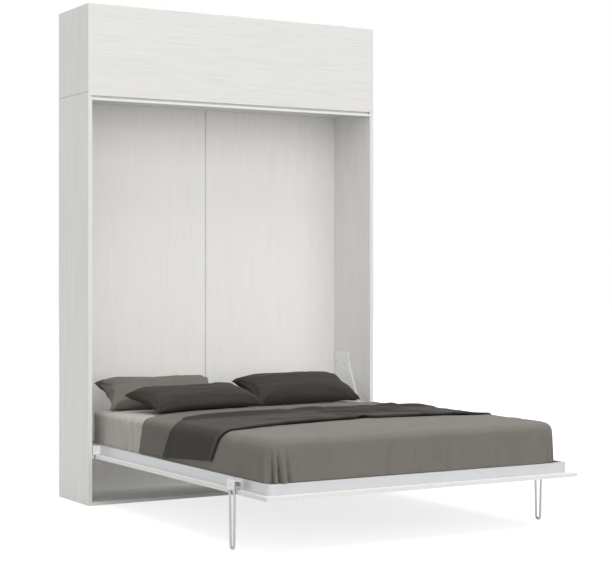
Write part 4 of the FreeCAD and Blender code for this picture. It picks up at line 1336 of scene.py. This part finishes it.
class WALLBED_OT_finishes(bpy.types.Operator):
    """Make the finishes and give them to the solids that keep their shape"""
    bl_idname = "wallbed.finishes"
    bl_label = "Finishes"

    def execute(self, context):
        tones = colours()
        repaint(laminate("ash_laminate_upright", tones.board[:], "Z"),
                *both("side_panel"), *both("upper_side"))
        repaint(laminate("ash_laminate_level", tones.board[:], "X"), "bottom_board",
                "lower_top_panel", "upper_bottom_panel", "upper_top_panel", "flap_door",
                "wall_fixing_rail")
        repaint(laminate("ash_laminate_lengthways", tones.board[:], "Y", depth=0.5),
                *both("bed_panel"))
        # The back boards take the lighter back colour: painted light against the shade inside the
        # cabinet.
        repaint(laminate("back_laminate_lightened_upright", tones.back[:], "Z", depth=0.6),
                *both("back_panel"), "upper_back_panel", "back_batten")
        repaint(coat("rail_coat", tones.frame[:], roughness=0.32, speckle=0.03, metallic=0.25),
                *both("rail"), "rail_foot", "rail_head", "centre_beam", "cross_bars",
                "mattress_bow")
        repaint(ply("beech_ply", tones.slat[:]), "slats")
        repaint(moulded("slat_cap_plastic", tones.plastic[:]), "slat_caps")
        repaint(coat("strip_coat", tones.strip[:], roughness=0.42, speckle=0.03),
                "top_stop_strip")
        repaint(coat("plate_coat", tones.plate[:], roughness=0.40, speckle=0.04),
                *both("side_plate"), *both("pivot_arm"))
        repaint(coat("bracket_coat", scaled(tones.plate[:], 0.95), roughness=0.36, speckle=0.04,
                     metallic=0.2), *both("leg_bracket"))
        repaint(coat("tube_enamel", tones.tube[:], roughness=0.22, speckle=0.10),
                *both("spring_tube"), *both("stay_tube"))
        repaint(bare_metal("zinc_steel", tone(186, 188, 190), roughness=0.30,
                           lines=(300, 300, 300)), "pivot_pins", "spring_studs", "leg_pins")
        repaint(bare_metal("bush_metal", tones.bronze[:], roughness=0.34, lines=(900, 60, 60)),
                "pivot_bushes")
        repaint(bare_metal("rod_chrome", tones.chrome[:], roughness=0.08, lines=(200, 200, 200)),
                *both("spring_rod"), *both("stay_rod"))
        repaint(bare_metal("hinge_satin", tone(190, 192, 194), roughness=0.28,
                           lines=(900, 30, 30)), "flap_hinge_door_leaves",
                "flap_hinge_fixed_leaves", "stay_brackets", "stay_door_tabs")
        bare_metal("leg_chrome_plate", tones.chrome[:], roughness=0.16, lines=(250, 250, 12))
        moulded("cover_plastic", tone(228, 227, 223), roughness=0.45)
        # Plastic of the back's joining strip, darker than the back: painted shade of its seam.
        moulded("joint_plastic_seam_shade", tone(205, 204, 200), roughness=0.45)
        # Dark grey of the side strips: painted shade of the sides' joint line.
        moulded("seam_shade_grey", tone(138, 138, 135), roughness=0.50)
        moulded("cap_black", tone(30, 30, 32), roughness=0.40)
        return {"FINISHED"}


class WALLBED_OT_fitted_sheet(bpy.types.Operator):
    """Mattress in its fitted sheet"""
    bl_idname = "wallbed.fitted_sheet"
    bl_label = "Mattress and fitted sheet"

    def execute(self, context):
        fitted_sheet()
        return {"FINISHED"}


class WALLBED_OT_top_sheet(bpy.types.Operator):
    """Top sheet folded back over the mattress"""
    bl_idname = "wallbed.top_sheet"
    bl_label = "Top sheet"

    def execute(self, context):
        top_sheet()
        return {"FINISHED"}


class WALLBED_OT_duvet(bpy.types.Operator):
    """Duvet with its corner pleats"""
    bl_idname = "wallbed.duvet"
    bl_label = "Duvet"

    def execute(self, context):
        duvet()
        return {"FINISHED"}


class WALLBED_OT_throw(bpy.types.Operator):
    """Throw laid over the head end of the duvet"""
    bl_idname = "wallbed.throw"
    bl_label = "Throw"

    def execute(self, context):
        throw()
        return {"FINISHED"}


class WALLBED_OT_pillows(bpy.types.Operator):
    """Three filled pillows"""
    bl_idname = "wallbed.pillows"
    bl_label = "Pillows"

    def execute(self, context):
        pillows()
        return {"FINISHED"}


class WALLBED_OT_legs(bpy.types.Operator):
    """Two U-shaped legs of smooth rod"""
    bl_idname = "wallbed.legs"
    bl_label = "Legs"

    def execute(self, context):
        for side, name in SIDES:
            leg(side, name)
        return {"FINISHED"}


class WALLBED_OT_fittings(bpy.types.Operator):
    """Cam covers, joining strips darkened as painted seam shade, screws, washers, seal caps and
    rivet heads
    """
    bl_idname = "wallbed.fittings"
    bl_label = "Fittings"

    def execute(self, context):
        cabinet_fittings()
        cabinet_joints()
        flap_fittings()
        strut_fittings()
        leg_fittings()
        return {"FINISHED"}


class WALLBED_OT_studio(bpy.types.Operator):
    """Plain floor, even light and the camera"""
    bl_idname = "wallbed.studio"
    bl_label = "Studio"

    def execute(self, context):
        scene = context.scene
        settings = scene.wall_bed_studio
        plain_floor()
        room_light(scene, settings.sky_strength)
        wide_light("front_light", (0.10, -1.0, 0.22), settings.front_energy)
        wide_light("top_light", (0.05, -0.20, 1.0), settings.top_energy)
        wide_light("left_light", (-1.0, -0.80, 0.30), settings.left_energy)
        set_camera(scene, settings.camera_place, settings.camera_turn, settings.lens)
        scene.view_settings.view_transform = "Standard"
        return {"FINISHED"}


OPERATORS = (WALLBED_OT_finishes, WALLBED_OT_fitted_sheet, WALLBED_OT_top_sheet, WALLBED_OT_duvet,
             WALLBED_OT_throw, WALLBED_OT_pillows, WALLBED_OT_legs, WALLBED_OT_fittings,
             WALLBED_OT_studio)


class WALLBED_PT_panel(bpy.types.Panel):
    """Pieces, finishes and studio of the wall bed"""
    bl_idname = "WALLBED_PT_panel"
    bl_label = "Wall bed"
    bl_space_type = "VIEW_3D"
    bl_region_type = "UI"
    bl_category = "Wall bed"

    def draw(self, context):
        for operator in OPERATORS:
            self.layout.operator(operator.bl_idname)
        scene = context.scene
        for group in (scene.wall_bed_sizes, scene.wall_bed_colours, scene.wall_bed_studio):
            box = self.layout.box()
            for key in group.bl_rna.properties.keys():
                if key not in ("rna_type", "name"):
                    box.prop(group, key)


CLASSES = (BedColours, BedSizes, StudioSettings, *OPERATORS, WALLBED_PT_panel)


def register():
    """Register the classes and hang the settings on the scene."""
    for cls in CLASSES:
        bpy.utils.register_class(cls)
    bpy.types.Scene.wall_bed_colours = bpy.props.PointerProperty(type=BedColours)
    bpy.types.Scene.wall_bed_sizes = bpy.props.PointerProperty(type=BedSizes)
    bpy.types.Scene.wall_bed_studio = bpy.props.PointerProperty(type=StudioSettings)


def unregister():
    """Take the settings and the classes away again."""
    del bpy.types.Scene.wall_bed_studio
    del bpy.types.Scene.wall_bed_sizes
    del bpy.types.Scene.wall_bed_colours
    for cls in reversed(CLASSES):
        bpy.utils.unregister_class(cls)


def main():
    """Build everything in order."""
    register()
    for operator in OPERATORS:
        group, name = operator.bl_idname.split(".")
        getattr(getattr(bpy.ops, group), name)()


if __name__ == "__main__":
    main()
